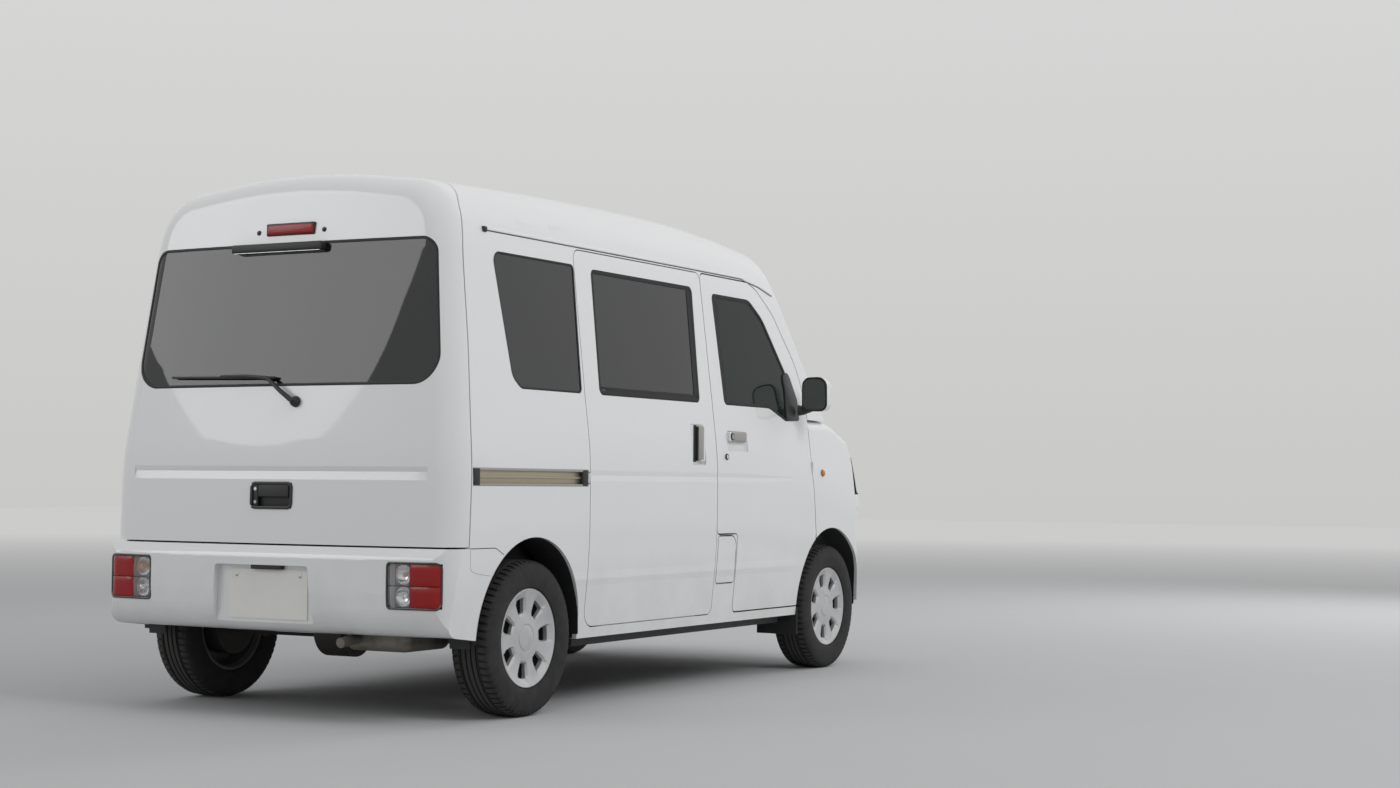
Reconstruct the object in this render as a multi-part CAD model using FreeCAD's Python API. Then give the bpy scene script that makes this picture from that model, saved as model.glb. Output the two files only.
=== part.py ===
# Kei van with a high roof, sliding side doors and a top-hinged tailgate, as an assembly of named pieces.
# Millimetres. X points to the vehicle's left, Y to its rear, Z up, and the ground is at Z = 0.
import FreeCAD, Part
import math
import os
from FreeCAD import Vector

# Overall sizes
LENGTH = 3395.0
HALF_LENGTH = LENGTH / 2
HALF_WIDTH = 737.5
ROOF_TOP = 1880.0
SILL_BOTTOM = 245.0
GUTTER_Z = 1640.0
WALL = 45.0              # doors, pillars and panels with their inner trim
GAP = 5.5                # shut line round a panel that moves
SEAT = 0.3               # between pieces that seat on each other
BARREL_R = 3.0           # hinge barrels, which lie in the shut lines
BARREL_OUT = GAP - SEAT - BARREL_R
SLIDE_GAP = 4.0          # round the sliding doors

# Curvature of the body
CREST_Y = 100.0          # where the roof is highest
ROOF_R_REAR = 30000.0
ROOF_R_FRONT = 8000.0
REAR_PLAN_R = 8000.0
CAB_PLAN_R = 2900.0
NOSE_PLAN_R = 3000.0
REAR_CORNER_R = 95.0
PILLAR_R = 75.0
NOSE_CORNER_R = 50.0

# Running gear
WHEELBASE = 2398.0
REAR_AXLE_Y = 1157.0
FRONT_AXLE_Y = REAR_AXLE_Y - WHEELBASE
TYRE_R = 266.0
RIM_R = 168.0
HUB_Z = TYRE_R
FRONT_TRACK = 1300.0
REAR_TRACK = 1290.0
SPINDLE_R = 15.0
ARCH_R = 318.0
ARCH_Z = 291.0
KINGPIN_LOW = (605.0, 180.0)      # X and Z of the lower ball joint
KINGPIN_TOP = (500.0, 780.0)      # X and Z of the strut's top mount

# Doors and lids, seen from the side as Y, Z and corner radius
DOOR_BOTTOM = 285.0
BELT_Z = 1112.0
DOOR_SPLIT_Y = -168.0
DOOR_FRONT_Y = -1048.0
SLIDE_REAR_Y = 800.0
TAILGATE_BOTTOM = 583.0
TAILGATE_TOP_Y = 1355.0
FLOOR_Z = 620.0
FLOOR_T = 25.0

os.makedirs("parts", exist_ok=True)
pieces = {}


def rounded(points):
    """Corner rows of (start, middle, end) for an outline whose rows are (a, b, radius)."""
    corners = []
    for i, (a, b, radius) in enumerate(points):
        if radius <= 0:
            corners.append(((a, b), None, (a, b)))
            continue
        before, after = points[i - 1], points[(i + 1) % len(points)]
        u, v = (before[0] - a, before[1] - b), (after[0] - a, after[1] - b)
        lu, lv = math.hypot(*u), math.hypot(*v)
        u, v = (u[0] / lu, u[1] / lu), (v[0] / lv, v[1] / lv)
        half = math.acos(max(-1.0, min(1.0, u[0] * v[0] + u[1] * v[1]))) / 2
        run = radius / math.tan(half)
        w = (u[0] + v[0], u[1] + v[1])
        reach = (radius / math.sin(half) - radius) / math.hypot(*w)
        start, end = (a + u[0] * run, b + u[1] * run), (a + v[0] * run, b + v[1] * run)
        corners.append((start, (a + w[0] * reach, b + w[1] * reach), end))
    return corners


def face(points, place):
    """Planar face of an outline, with place(a, b) giving each point in space."""
    corners = rounded(points)
    edges = []
    for i, (start, middle, end) in enumerate(corners):
        following = corners[(i + 1) % len(corners)][0]
        if middle:
            edges.append(Part.Arc(place(*start), place(*middle), place(*end)).toShape())
        if math.dist(end, following) > 1e-6:
            edges.append(Part.LineSegment(place(*end), place(*following)).toShape())
    return Part.Face(Part.Wire(edges))


def inset(points, depth):
    """The outline moved inwards by depth (outwards when negative), with its radii kept concentric."""
    count = len(points)
    area = sum(points[i][0] * points[(i + 1) % count][1] - points[(i + 1) % count][0] * points[i][1]
               for i in range(count))
    side = 1 if area > 0 else -1
    lines = []
    for i in range(count):
        (a, b), (c, d) = points[i][:2], points[(i + 1) % count][:2]
        run = math.hypot(c - a, d - b)
        normal = (-(d - b) / run * side, (c - a) / run * side)
        lines.append((a + normal[0] * depth, b + normal[1] * depth, (c - a) / run, (d - b) / run))
    moved = []
    for i in range(count):
        x1, y1, dx1, dy1 = lines[i - 1]
        x2, y2, dx2, dy2 = lines[i]
        turn = dx1 * dy2 - dy1 * dx2
        along = ((x2 - x1) * dy2 - (y2 - y1) * dx2) / turn
        radius = points[i][2]
        if radius:
            radius = max(radius - depth, 1.0) if side * turn > 0 else radius + depth
        moved.append((x1 + dx1 * along, y1 + dy1 * along, radius))
    return moved


def side_prism(points, x0=-900.0, x1=900.0):
    return face(points, lambda y, z: Vector(x0, y, z)).extrude(Vector(x1 - x0, 0, 0))


def front_prism(points, y0, y1):
    return face(points, lambda x, z: Vector(x, y0, z)).extrude(Vector(0, y1 - y0, 0))


def plan_prism(points, z0, z1):
    return face(points, lambda x, y: Vector(x, y, z0)).extrude(Vector(0, 0, z1 - z0))


def box(x0, x1, y0, y1, z0, z1):
    return Part.makeBox(x1 - x0, y1 - y0, z1 - z0, Vector(x0, y0, z0))


def rounded_box(x0, x1, y0, y1, z0, z1, radius):
    shape = box(x0, x1, y0, y1, z0, z1)
    return shape.makeFillet(radius, shape.Edges)


def rod(start, end, radius):
    start, end = Vector(*start), Vector(*end)
    return Part.makeCylinder(radius, (end - start).Length, start, end - start)


def fused(shapes):
    shapes = list(shapes)
    return shapes[0].multiFuse(shapes[1:]).removeSplitter() if len(shapes) > 1 else shapes[0]


def mirrored(shape):
    return shape.mirror(Vector(0, 0, 0), Vector(1, 0, 0))


def largest(shape, count=1):
    """The biggest solids of a cut, without slivers."""
    solids = sorted(shape.Solids, key=lambda s: -s.Volume)[:count]
    return solids[0] if count == 1 else Part.makeCompound(solids)


def left_half(shape):
    return shape.common(box(0, 900, -1800, 1800, 0, 2000))


# The body's outer form: one cross-section carried over the roof's long arcs, met by the ends

# Half of the section as X, Z and corner radius, from the sill to the middle of the roof
HALF_SECTION = [(707, SILL_BOTTOM, 0), (HALF_WIDTH, 560, 2500), (HALF_WIDTH, 900, 1400),
                (645, GUTTER_Z, 900), (600, 1827, 200), (0, ROOF_TOP + 18, 2600)]
SECTION = HALF_SECTION + [(-x, z, r) for x, z, r in reversed(HALF_SECTION[:-1])]

# End profiles at the middle of the vehicle, as Y, Z and radius
REAR_PROFILE = [(CREST_Y - 100, 200, 0), (1667, 200, 0), (1667, 575, 2500), (1660, 850, 2500),
                (1636, 1110, 2500), (1590, 1600, 1500), (1540, 1950, 0), (CREST_Y - 100, 1950, 0)]
WINDSCREEN_BASE = (-1380.0, 1060.0)
WINDSCREEN_LEAN = 0.729          # how far it goes back for each millimetre up
WINDSCREEN_TOP_Z = 1742.0


def screen_y(z):
    return WINDSCREEN_BASE[0] + (z - WINDSCREEN_BASE[1]) * WINDSCREEN_LEAN


CAB_PROFILE = [(300, 200, 0), (300, 1950, 0), (screen_y(1950), 1950, 0), (screen_y(200), 200, 0)]
COWL_Z = 1075.0
NOSE_Y = -1672.0
NOSE_PROFILE = [(300, 200, 0), (300, COWL_Z, 0), (-1375, COWL_Z, 400), (-1560, 1000, 60),
                (-1602, 930, 300), (NOSE_Y, 690, 200), (NOSE_Y, 200, 0)]


def band(radius, y_end, depth):
    """The section turned about a cross axis far below, from the crest to y_end."""
    reach = math.degrees(math.asin(abs(y_end - CREST_Y) / (radius - 1700)))
    outline = face(inset(SECTION, depth), lambda x, z: Vector(x, CREST_Y, z))
    return outline.revolve(Vector(0, CREST_Y, ROOF_TOP - radius), Vector(1, 0, 0),
                           -reach if y_end > CREST_Y else reach)


def bowed(profile, depth, axis_y, half_angle):
    """A side profile turned about an upright axis, which bows the end in plan."""
    outline = face(inset(profile, depth), lambda y, z: Vector(0, y, z))
    outline.rotate(Vector(0, axis_y, 0), Vector(0, 0, 1), -half_angle)
    return outline.revolve(Vector(0, axis_y, 0), Vector(0, 0, 1), 2 * half_angle)


def rim_edges(solid, long_form, wanted):
    """Edges where the long form's faces meet the end's faces."""
    skin = Part.Shell(long_form.Faces)
    chosen = []
    for edge in solid.Edges:
        middle = edge.valueAt((edge.FirstParameter + edge.LastParameter) / 2)
        if not wanted(middle):
            continue
        on_skin = 0
        for neighbour in solid.Faces:
            if any(edge.isSame(other) for other in neighbour.Edges):
                u0, u1, v0, v1 = neighbour.ParameterRange
                centre = neighbour.valueAt((u0 + u1) / 2, (v0 + v1) / 2)
                on_skin += Part.Vertex(centre).distToShape(skin)[0] < 0.05
        if on_skin == 1:
            chosen.append(edge)
    return chosen


def rear_form(depth, profile=REAR_PROFILE):
    long_form = band(ROOF_R_REAR, 1730, depth)
    form = long_form.common(bowed(profile, depth, HALF_LENGTH - REAR_PLAN_R, 14))
    rim = rim_edges(form, long_form, lambda p: p.y > 1300 and p.z > 215 + depth)
    return form.makeFillet(REAR_CORNER_R - depth, rim)


def cab_form(depth):
    long_form = band(ROOF_R_FRONT, -1730, depth)
    form = long_form.common(bowed(CAB_PROFILE, depth, WINDSCREEN_BASE[0] + CAB_PLAN_R, 60))
    rim = rim_edges(form, long_form, lambda p: p.y < -300 and p.z > 400)
    return form.makeFillet(PILLAR_R - depth, rim)


def nose_form(depth, profile=NOSE_PROFILE):
    long_form = band(ROOF_R_FRONT, -1730, depth)
    form = long_form.common(bowed(profile, depth, -HALF_LENGTH + NOSE_PLAN_R, 60))
    rim = rim_edges(form, long_form, lambda p: p.y < -1300 and 215 + depth < p.z)
    return form.makeFillet(max(NOSE_CORNER_R - depth, 5), rim)


FRONT_LIMIT = box(-900, 900, -1310, CREST_Y, 0, 2000)


def body_form(depth):
    """Rear, cab and nose as one solid, depth inside the outer skin."""
    cab = cab_form(depth)
    upper = cab.common(box(-900, 900, -1800, 300, COWL_Z - depth, 2000))
    lower = cab.common(FRONT_LIMIT)
    return rear_form(depth), upper, lower, nose_form(depth)


def shell(outer, inner):
    return [o.cut(i) for o, i in zip(outer, inner)]


OUTER = {depth: body_form(depth) for depth in (0.0, 3.0, 8.0, 12.0, WALL)}
REAR, UPPER, LOWER, NOSE = range(4)
CAVITY = fused(OUTER[WALL][:3])
FULL = fused(OUTER[0.0][:3])
SILL_INNER = 655.0
OPEN_BOTTOM = box(-SILL_INNER, SILL_INNER, -1800, 1800, 0, SILL_BOTTOM + WALL + 10)
BELOW_SILL = box(-900, 900, -1800, 1800, 0, SILL_BOTTOM)


def crease(x, z, half, depth, y0, y1):
    """A shallow fold along both sides, with its bottom depth inside the skin at X = x."""
    fold = front_prism([(x - depth, z, 0), (x + 2 * depth, z + 3 * half, 0), (x + 2 * depth, z - 3 * half, 0)], y0, y1)
    return [fold, mirrored(fold)]


RAIL_ZONE = (SLIDE_REAR_Y + 16, 1538.0, 782.0, 842.0)      # Y and Z limits of the sliding door's rail
CREASES = fused(crease(HALF_WIDTH, 822, 20, 2.5, DOOR_FRONT_Y + 200, RAIL_ZONE[0]))
SKIN = FULL.cut(CAVITY).cut(OPEN_BOTTOM).cut(BELOW_SILL).cut(CREASES)
NOSE_SKIN = OUTER[0.0][NOSE].cut(OUTER[WALL][NOSE]).cut(CAVITY).cut(CREASES)

# Openings seen from the side
FRONT_DOOR = [(DOOR_SPLIT_Y, 1632, 30), (-600, 1632, 60), (-668, 1606, 60), (-800, 1515, 300),
              (-1012, 1270, 400), (DOOR_FRONT_Y, 1080, 60), (DOOR_FRONT_Y, 850, 300), (-1076, 590, 0),
              (-1050, DOOR_BOTTOM, 0), (-345, DOOR_BOTTOM, 25), (-345, 600, 20), (DOOR_SPLIT_Y, 600, 20)]
SLIDE_FRONT_Y = DOOR_SPLIT_Y + GAP
SLIDING_DOOR = [(SLIDE_FRONT_Y, DOOR_BOTTOM, 30), (SLIDE_FRONT_Y, 1632, 30), (SLIDE_REAR_Y - 10, 1632, 40),
                (SLIDE_REAR_Y, 1100, 900), (SLIDE_REAR_Y, DOOR_BOTTOM, 60)]
TAILGATE = [(1557, TAILGATE_BOTTOM, 0), (1543, 930, 2000), (1510, 1245, 2000), (1492, 1560, 800),
            (1462, 1720, 120), (1390, 1800, 200), (TAILGATE_TOP_Y, 1830, 0), (TAILGATE_TOP_Y, 1960, 0),
            (1800, 1960, 0), (1800, TAILGATE_BOTTOM, 0)]
ROOF = [(TAILGATE_TOP_Y - GAP, 1960, 0), (TAILGATE_TOP_Y - GAP, 1645, 0), (-600, 1638.5, 0), (-700, 1623, 0),
        (-830, 1590, 0), (-905, WINDSCREEN_TOP_Z, 0), (-1500, WINDSCREEN_TOP_Z, 0), (-1500, 1960, 0)]
FRONT_WINDOW = [(-252, 1560, 25), (-588, 1560, 90), (-700, 1490, 200), (-905, 1235, 200), (-905, 1070, 20),
                (-830, 1062, 60), (-680, BELT_Z, 100), (-270, BELT_Z, 25)]
SLIDING_WINDOW = [(-90, 1572, 25), (680, 1572, 25), (700, BELT_Z, 25), (-62, BELT_Z, 25)]
QUARTER_WINDOW = [(795, 1577, 20), (1318, 1577, 40), (1262, 1150, 60), (1215, BELT_Z, 50),
                  (820, BELT_Z, 20)]
FUEL_LID = [(-182, 405, 12), (-182, 588, 12), (-332, 588, 45), (-332, 405, 12)]
REAR_WINDOW = [(-653, 1112, 95), (-600, 1604, 60), (600, 1604, 60), (653, 1112, 95)]
WINDSCREEN = [(-640, 1100, 60), (-520, WINDSCREEN_TOP_Z - 12, 60), (520, WINDSCREEN_TOP_Z - 12, 60),
              (640, 1100, 60)]
BUMPER_SPLIT = [(1800, TAILGATE_BOTTOM - GAP, 0), (1392, TAILGATE_BOTTOM - GAP, 20), (1250, 505, 0),
                (1250, 200, 0), (1800, 200, 0)]


def arch(axle_y, radius=ARCH_R):
    return rod((-900, axle_y, ARCH_Z), (900, axle_y, ARCH_Z), radius)


ARCHES = fused([arch(FRONT_AXLE_Y), arch(REAR_AXLE_Y),
                box(-900, 900, FRONT_AXLE_Y - ARCH_R, FRONT_AXLE_Y + ARCH_R, 0, ARCH_Z),
                box(-900, 900, REAR_AXLE_Y - ARCH_R, REAR_AXLE_Y + ARCH_R, 0, ARCH_Z)])
FENDER_LINE_Y = DOOR_FRONT_Y - GAP
FENDER_ZONE = side_prism([(FENDER_LINE_Y, COWL_Z, 0), (FENDER_LINE_Y, 850, 300), (-1085, 570, 0),
                          (-1085, 200, 0), (-1800, 200, 0), (-1800, COWL_Z, 0)])


def sides(name, shape):
    """A left piece and its mirror on the right."""
    pieces[name + "_left"] = shape
    pieces[name + "_right"] = mirrored(shape)


def lid_zone(depth):
    return side_prism(inset(FUEL_LID, depth), -900, 0)


# Body sides with their pillars and sills, one each side
FRAME_REAR_Y = -550.0
side_shell = SKIN
for zone in [side_prism(inset(FRONT_DOOR, -GAP)), side_prism(inset(SLIDING_DOOR, -SLIDE_GAP)),
             side_prism(inset(TAILGATE, -GAP)), side_prism(ROOF), side_prism(QUARTER_WINDOW),
             side_prism(BUMPER_SPLIT), FENDER_ZONE, ARCHES, front_prism(WINDSCREEN, -1600, -700)]:
    side_shell = side_shell.cut(zone)
side_shell = side_shell.cut(box(-900, 900, -1800, FENDER_LINE_Y, COWL_Z, 2000))
side_shell = side_shell.cut(box(-900, 900, -1800, FRAME_REAR_Y, 1200, 2000))
RAIL_DEPTH = 12.0
rail_skin = OUTER[0.0][REAR].cut(OUTER[RAIL_DEPTH][REAR])
rail_left = largest(rail_skin.common(box(0, 900, *RAIL_ZONE)))
pieces["slide_rails"] = Part.makeCompound([rail_left, mirrored(rail_left)])
RAIL_X_IN = 724.0
arm_slot = box(RAIL_X_IN - SLIDE_GAP, 900, SLIDE_REAR_Y, RAIL_ZONE[0], 790, 835)
side_left = largest(left_half(side_shell).cut(rail_left).cut(arm_slot))
sides("body_side", side_left)
POCKET_X = -700.0
pocket = side_prism(inset(FUEL_LID, -GAP), -900, POCKET_X)
pieces["body_side_right"] = pieces["body_side_right"].cut(pocket)

# Windscreen frame: both pillars joined by the strip under the glass
frame = SKIN.common(box(-900, 900, -1800, FRAME_REAR_Y, COWL_Z, 2000))
for zone in [side_prism(ROOF), side_prism(inset(FRONT_DOOR, -GAP)), front_prism(WINDSCREEN, -1600, -600),
             box(-900, 900, FENDER_LINE_Y, 2000, 0, 1200)]:
    frame = frame.cut(zone)
pieces["windscreen_frame"] = largest(frame)

# Roof
roof = SKIN.common(side_prism(ROOF).cut(side_prism(inset(TAILGATE, -GAP))))
pieces["roof_panel"] = largest(roof.cut(front_prism(WINDSCREEN, -1600, -700)))

# Sliding doors, closed, each with its window cut
door = SKIN.common(side_prism(SLIDING_DOOR)).cut(side_prism(SLIDING_WINDOW))
roller_arm = box(RAIL_X_IN, 733, SLIDE_REAR_Y - 8, RAIL_ZONE[0] - SEAT, 795, 830)
HANDLE_DEPTH = 14.0
SLIDE_HANDLE = (-72.0, 40.0, 870.0, 1030.0)
slide_handle = rounded_box(718, 737, -66, -26, 882, 1020, 6)
door = left_half(door).cut(rounded_box(HALF_WIDTH - HANDLE_DEPTH - 4, 780, *SLIDE_HANDLE, 8))
sides("sliding_door", fused([largest(door), roller_arm, slide_handle]))

# Front doors
door = SKIN.common(side_prism(FRONT_DOOR)).cut(side_prism(FRONT_WINDOW)).cut(ARCHES)
DOOR_HINGE = (733.5, DOOR_FRONT_Y - BARREL_OUT)
barrels = [rod((*DOOR_HINGE, z), (*DOOR_HINGE, z + 45), BARREL_R) for z in (640, 848)]
DOOR_HANDLE = (-442.0, -262.0, 925.0, 1010.0)
door_handle = rounded_box(716, 736, -432, -272, 966, 1004, 6)
door = left_half(door).cut(rounded_box(HALF_WIDTH - HANDLE_DEPTH - 4, 780, *DOOR_HANDLE, 8))
sides("front_door", fused([largest(door), door_handle] + barrels))

# Tailgate
gate = SKIN.common(side_prism(TAILGATE)).cut(front_prism(REAR_WINDOW, 1450, 1800))
HANDLE = (-94.0, 79.0, 701.0, 787.0)
gate = gate.cut(box(HANDLE[0], HANDLE[1], 1645, 1800, HANDLE[2], HANDLE[3]))
GATE_CREASE = [(1655.6, 826, 0), (1667.6, 886, 0), (1667.6, 766, 0)]
gate = gate.cut(bowed(GATE_CREASE, 0, HALF_LENGTH - REAR_PLAN_R, 4.5))
brake_lamp = rounded_box(-109, 90, 1555, 1591, 1632, 1668, 6)
GATE_HINGE = (TAILGATE_TOP_Y - BARREL_OUT, 1850.6)
pieces["tailgate"] = fused([largest(gate), brake_lamp] + [rod((x - 25, *GATE_HINGE), (x + 25, *GATE_HINGE), BARREL_R)
                                              for x in (-60, 60)])

# Glass, set in from the skin in its openings
PANE = OUTER[3.0], OUTER[8.0]


def pane(zone, parts):
    sheet = fused(shell([PANE[0][i] for i in parts], [PANE[1][i] for i in parts]))
    return sheet.common(zone)


side_sheet = fused([PANE[0][REAR], PANE[0][LOWER], PANE[0][UPPER]]).cut(
    fused([PANE[1][REAR], PANE[1][LOWER], PANE[1][UPPER]]))
fixed = [left_half(side_sheet.common(side_prism(inset(w, SEAT)))) for w in (QUARTER_WINDOW, SLIDING_WINDOW)]
pieces["side_glass"] = Part.makeCompound([largest(f) for f in fixed] + [mirrored(largest(f)) for f in fixed])
sides("door_glass", largest(left_half(side_sheet.common(side_prism(inset(FRONT_WINDOW, SEAT))))))
pieces["tailgate_glass"] = largest(side_sheet.common(front_prism(inset(REAR_WINDOW, SEAT), 1450, 1800)))
pieces["windscreen"] = largest(side_sheet.common(front_prism(inset(WINDSCREEN, SEAT), -1600, -700)))

# Fuel lid on the right
LID_HINGE_Y = FUEL_LID[2][0] + 2.5
lid = OUTER[0.0][LOWER].cut(OUTER[8.0][LOWER]).common(lid_zone(0)).cut(CREASES)
lid = lid.cut(box(-900, 0, LID_HINGE_Y - 10, LID_HINGE_Y, 480, 530))
lid_hinge = rod((-727.5, LID_HINGE_Y, 480), (-730.75, LID_HINGE_Y, 530), BARREL_R)
pieces["fuel_lid"] = fused([largest(lid), lid_hinge])

# Front end: fenders, hood, nose panel and cowl
HOOD_HALF = 610.0
HOOD_REAR_Y = -1392.0
HOOD_FRONT_Z = 945.0
hood_zone = box(-HOOD_HALF, HOOD_HALF, -1800, HOOD_REAR_Y, HOOD_FRONT_Z, 1200)
HOOD_HINGE = (HOOD_REAR_Y + BARREL_OUT, 1060.7)
pieces["hood"] = fused([largest(NOSE_SKIN.common(hood_zone))] + [
    rod((x - 25, *HOOD_HINGE), (x + 25, *HOOD_HINGE), BARREL_R) for x in (-60, 60)])
NOSE_TOP = HOOD_FRONT_Z - GAP
NOSE_BOTTOM = 694.0
nose_zone = box(-900, 900, -1800, -1480, NOSE_BOTTOM, NOSE_TOP)
HEADLAMP = [(395, 752, 30), (440, 925, 40), (900, 925, 0), (900, 752, 0)]
lamp_zone = front_prism(HEADLAMP, -1800, -1495)
nose = NOSE_SKIN.common(nose_zone).cut(lamp_zone).cut(mirrored(lamp_zone))
GRILLE = [(-330, 790, 20), (-345, 905, 20), (345, 905, 20), (330, 790, 20)]
nose = nose.cut(front_prism(GRILLE, -1800, -1500))
pieces["nose_panel"] = largest(nose)
lamp = largest(NOSE_SKIN.common(front_prism(inset(HEADLAMP, SEAT), -1800, -1495 - SEAT)))
pieces["headlamps"] = Part.makeCompound([lamp, mirrored(lamp)])
cab_part = SKIN.common(box(-900, 900, -1310, -1000, 200, COWL_Z)).cut(OUTER[WALL][NOSE])
fender_wide = fused([NOSE_SKIN, cab_part]).cut(BELOW_SILL)
fender = fender_wide.common(FENDER_ZONE).cut(ARCHES)
for zone in [nose_zone, box(-HOOD_HALF - GAP, HOOD_HALF + GAP, -1800, -900, 600, 1300),
             box(-900, 900, -1800, -1480, 0, NOSE_BOTTOM)]:
    fender = fender.cut(zone)
sides("fender", largest(left_half(fender)))
cowl = NOSE_SKIN.common(box(-HOOD_HALF, HOOD_HALF, HOOD_REAR_Y + GAP, -1200, 1000, 1200)).cut(OUTER[0.0][UPPER])
cowl = largest(cowl.cut(OUTER[0.0][LOWER]))


def on_screen(x, z, off):
    """A point off millimetres in front of the windscreen."""
    bow = CAB_PLAN_R - math.sqrt(CAB_PLAN_R ** 2 - x * x)
    return x, screen_y(z) + bow - off, z


# Front wipers, parked along the foot of the glass, on pivots in the cowl
wipers = []
for s in (-1, 1):
    blade = [on_screen(s * x, 1128 + abs(x - 270) * 0.02, 17) for x in (500, 385, 270, 155, 40)]
    wipers += [rod(blade[i], blade[i + 1], 6) for i in range(4)]
    wipers.append(rod(on_screen(s * 545, 1080, 21), on_screen(s * 270, 1130, 23), 6))
    wipers.append(rod(on_screen(s * 545, 1058, 16), on_screen(s * 545, 1086, 22), 12))
pieces["cowl"] = fused([cowl] + wipers).cut(fused(OUTER[3.0][:3]))

# Bumpers
REAR_BUMPER_PROFILE = [(CREST_Y + 1300, 262, 0), (1652, 292, 60), (1690, 345, 120), (HALF_LENGTH, 430, 300),
                       (HALF_LENGTH, 545, 30), (1676, TAILGATE_BOTTOM - GAP, 0),
                       (CREST_Y - 100, TAILGATE_BOTTOM - GAP, 0), (CREST_Y - 100, 262, 0)]


def cornered(profile, roof_r, axis_y, half_angle, corner, depth):
    """A bumper's solid: section, bowed profile and an upright prism that rounds its corners in plan."""
    end = corner[0][1] / abs(corner[0][1])
    long_form = band(roof_r, 1730 * end, depth)
    form = long_form.common(bowed(profile, depth, axis_y, half_angle))
    outline = [(-HALF_WIDTH - 5, CREST_Y, 0)] + [(-x, y, r) for x, y, r in corner]
    outline += [(x, y, r) for x, y, r in reversed(corner)] + [(HALF_WIDTH + 5, CREST_Y, 0)]
    outline = [(x, y, r) for i, (x, y, r) in enumerate(outline) if i == 0 or (x, y) != outline[i - 1][:2]]
    return form.common(plan_prism(inset(outline, depth), 150, 750))


# Bumper corners in plan, as X, Y and radius, from the corner to the middle
REAR_CORNER = [(HALF_WIDTH, 1667, 90), (0, 1712, 0)]
FRONT_CORNER = [(HALF_WIDTH, -1609, 165), (0, -1759, 0)]


def bumper_form(depth):
    return cornered(REAR_BUMPER_PROFILE, ROOF_R_REAR, HALF_LENGTH - REAR_PLAN_R, 14, REAR_CORNER, depth)


INNER_X = HALF_WIDTH - WALL
bumper = bumper_form(0).cut(bumper_form(WALL)).common(side_prism(BUMPER_SPLIT)).cut(ARCHES)
bumper = bumper.cut(box(-INNER_X, INNER_X, 0, 1602, 200, 700))
PLATE_RECESS = [(-205, 320, 12), (-190, 512, 12), (205, 512, 12), (215, 320, 12)]
TAIL_LAMP = [(505, 385, 10), (505, 530, 10), (760, 530, 0), (760, 385, 0)]
RECESS_Y = 1670.0
bumper = bumper.cut(front_prism(PLATE_RECESS, RECESS_Y, 1800))
lamp_pocket = front_prism(TAIL_LAMP, 1635, 1800)
bumper = bumper.cut(lamp_pocket).cut(mirrored(lamp_pocket))
pieces["rear_bumper"] = largest(bumper)
lens = bumper_form(1.0).common(front_prism(inset(TAIL_LAMP, SEAT), 1635 + SEAT, 1800))
LAMP_SPLIT = (595.0, 457.0)
lens = largest(lens).cut(box(LAMP_SPLIT[0] - 1.5, LAMP_SPLIT[0] + 1.5, 1660, 1800, 300, 600))
lens = lens.cut(box(500, 900, 1662, 1800, LAMP_SPLIT[1] - 1, LAMP_SPLIT[1] + 1))
pieces["tail_lamps"] = Part.makeCompound([largest(lens), mirrored(largest(lens))])

FRONT_BUMPER_PROFILE = [(300, 235, 0), (300, NOSE_BOTTOM - SEAT, 0), (-1676, NOSE_BOTTOM - SEAT, 15),
                        (-HALF_LENGTH, 620, 200), (-HALF_LENGTH, 420, 200), (-1665, 300, 100),
                        (-1600, 235, 0)]


def front_bumper_form(depth):
    return cornered(FRONT_BUMPER_PROFILE, ROOF_R_FRONT, -HALF_LENGTH + NOSE_PLAN_R, 60, FRONT_CORNER, depth)


front_bumper = front_bumper_form(0).cut(front_bumper_form(WALL)).common(
    box(-900, 900, -1800, -1480 - SEAT, 200, NOSE_BOTTOM - SEAT)).cut(arch(FRONT_AXLE_Y, ARCH_R))
INTAKE = [(-330, 330, 20), (-350, 470, 20), (350, 470, 20), (330, 330, 20)]
front_bumper = front_bumper.cut(front_prism(INTAKE, -1800, -1600))
behind_bumper = inset([(-HALF_WIDTH, 0, 0), (-HALF_WIDTH, FRONT_CORNER[0][1], FRONT_CORNER[0][2]), (0, FRONT_CORNER[1][1], 0),
                       (HALF_WIDTH, FRONT_CORNER[0][1], FRONT_CORNER[0][2]), (HALF_WIDTH, 0, 0)], WALL)
front_bumper = front_bumper.cut(plan_prism(behind_bumper, 200, 700).common(box(-900, 900, -1590, 0, 200, 700)))
pieces["front_bumper"] = largest(front_bumper)
intake_screen = front_prism(inset(INTAKE, SEAT), -1800, -1600).common(front_bumper_form(20).cut(front_bumper_form(26)))

# Grille slats in the nose and the bumper's intake
slats = [box(-331, 331, -1700, -1590, z, z + 12) for z in (815, 847, 879)]
bars = [box(x - 6, x + 6, -1700, -1590, 790, 905) for x in (-200, 0, 200)]
pieces["grille"] = Part.makeCompound([fused(slats + bars).common(OUTER[8.0][NOSE]), largest(intake_screen)])


def kingpin_axis(s):
    return Vector(s * (KINGPIN_TOP[0] - KINGPIN_LOW[0]), 0, KINGPIN_TOP[1] - KINGPIN_LOW[1]).normalize()


def on_kingpin(z, s=1):
    """The point of a side's steering axis at height z."""
    axis = kingpin_axis(s)
    return Vector(s * KINGPIN_LOW[0], FRONT_AXLE_Y, KINGPIN_LOW[1]) + axis * ((z - KINGPIN_LOW[1]) / axis.z)


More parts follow.
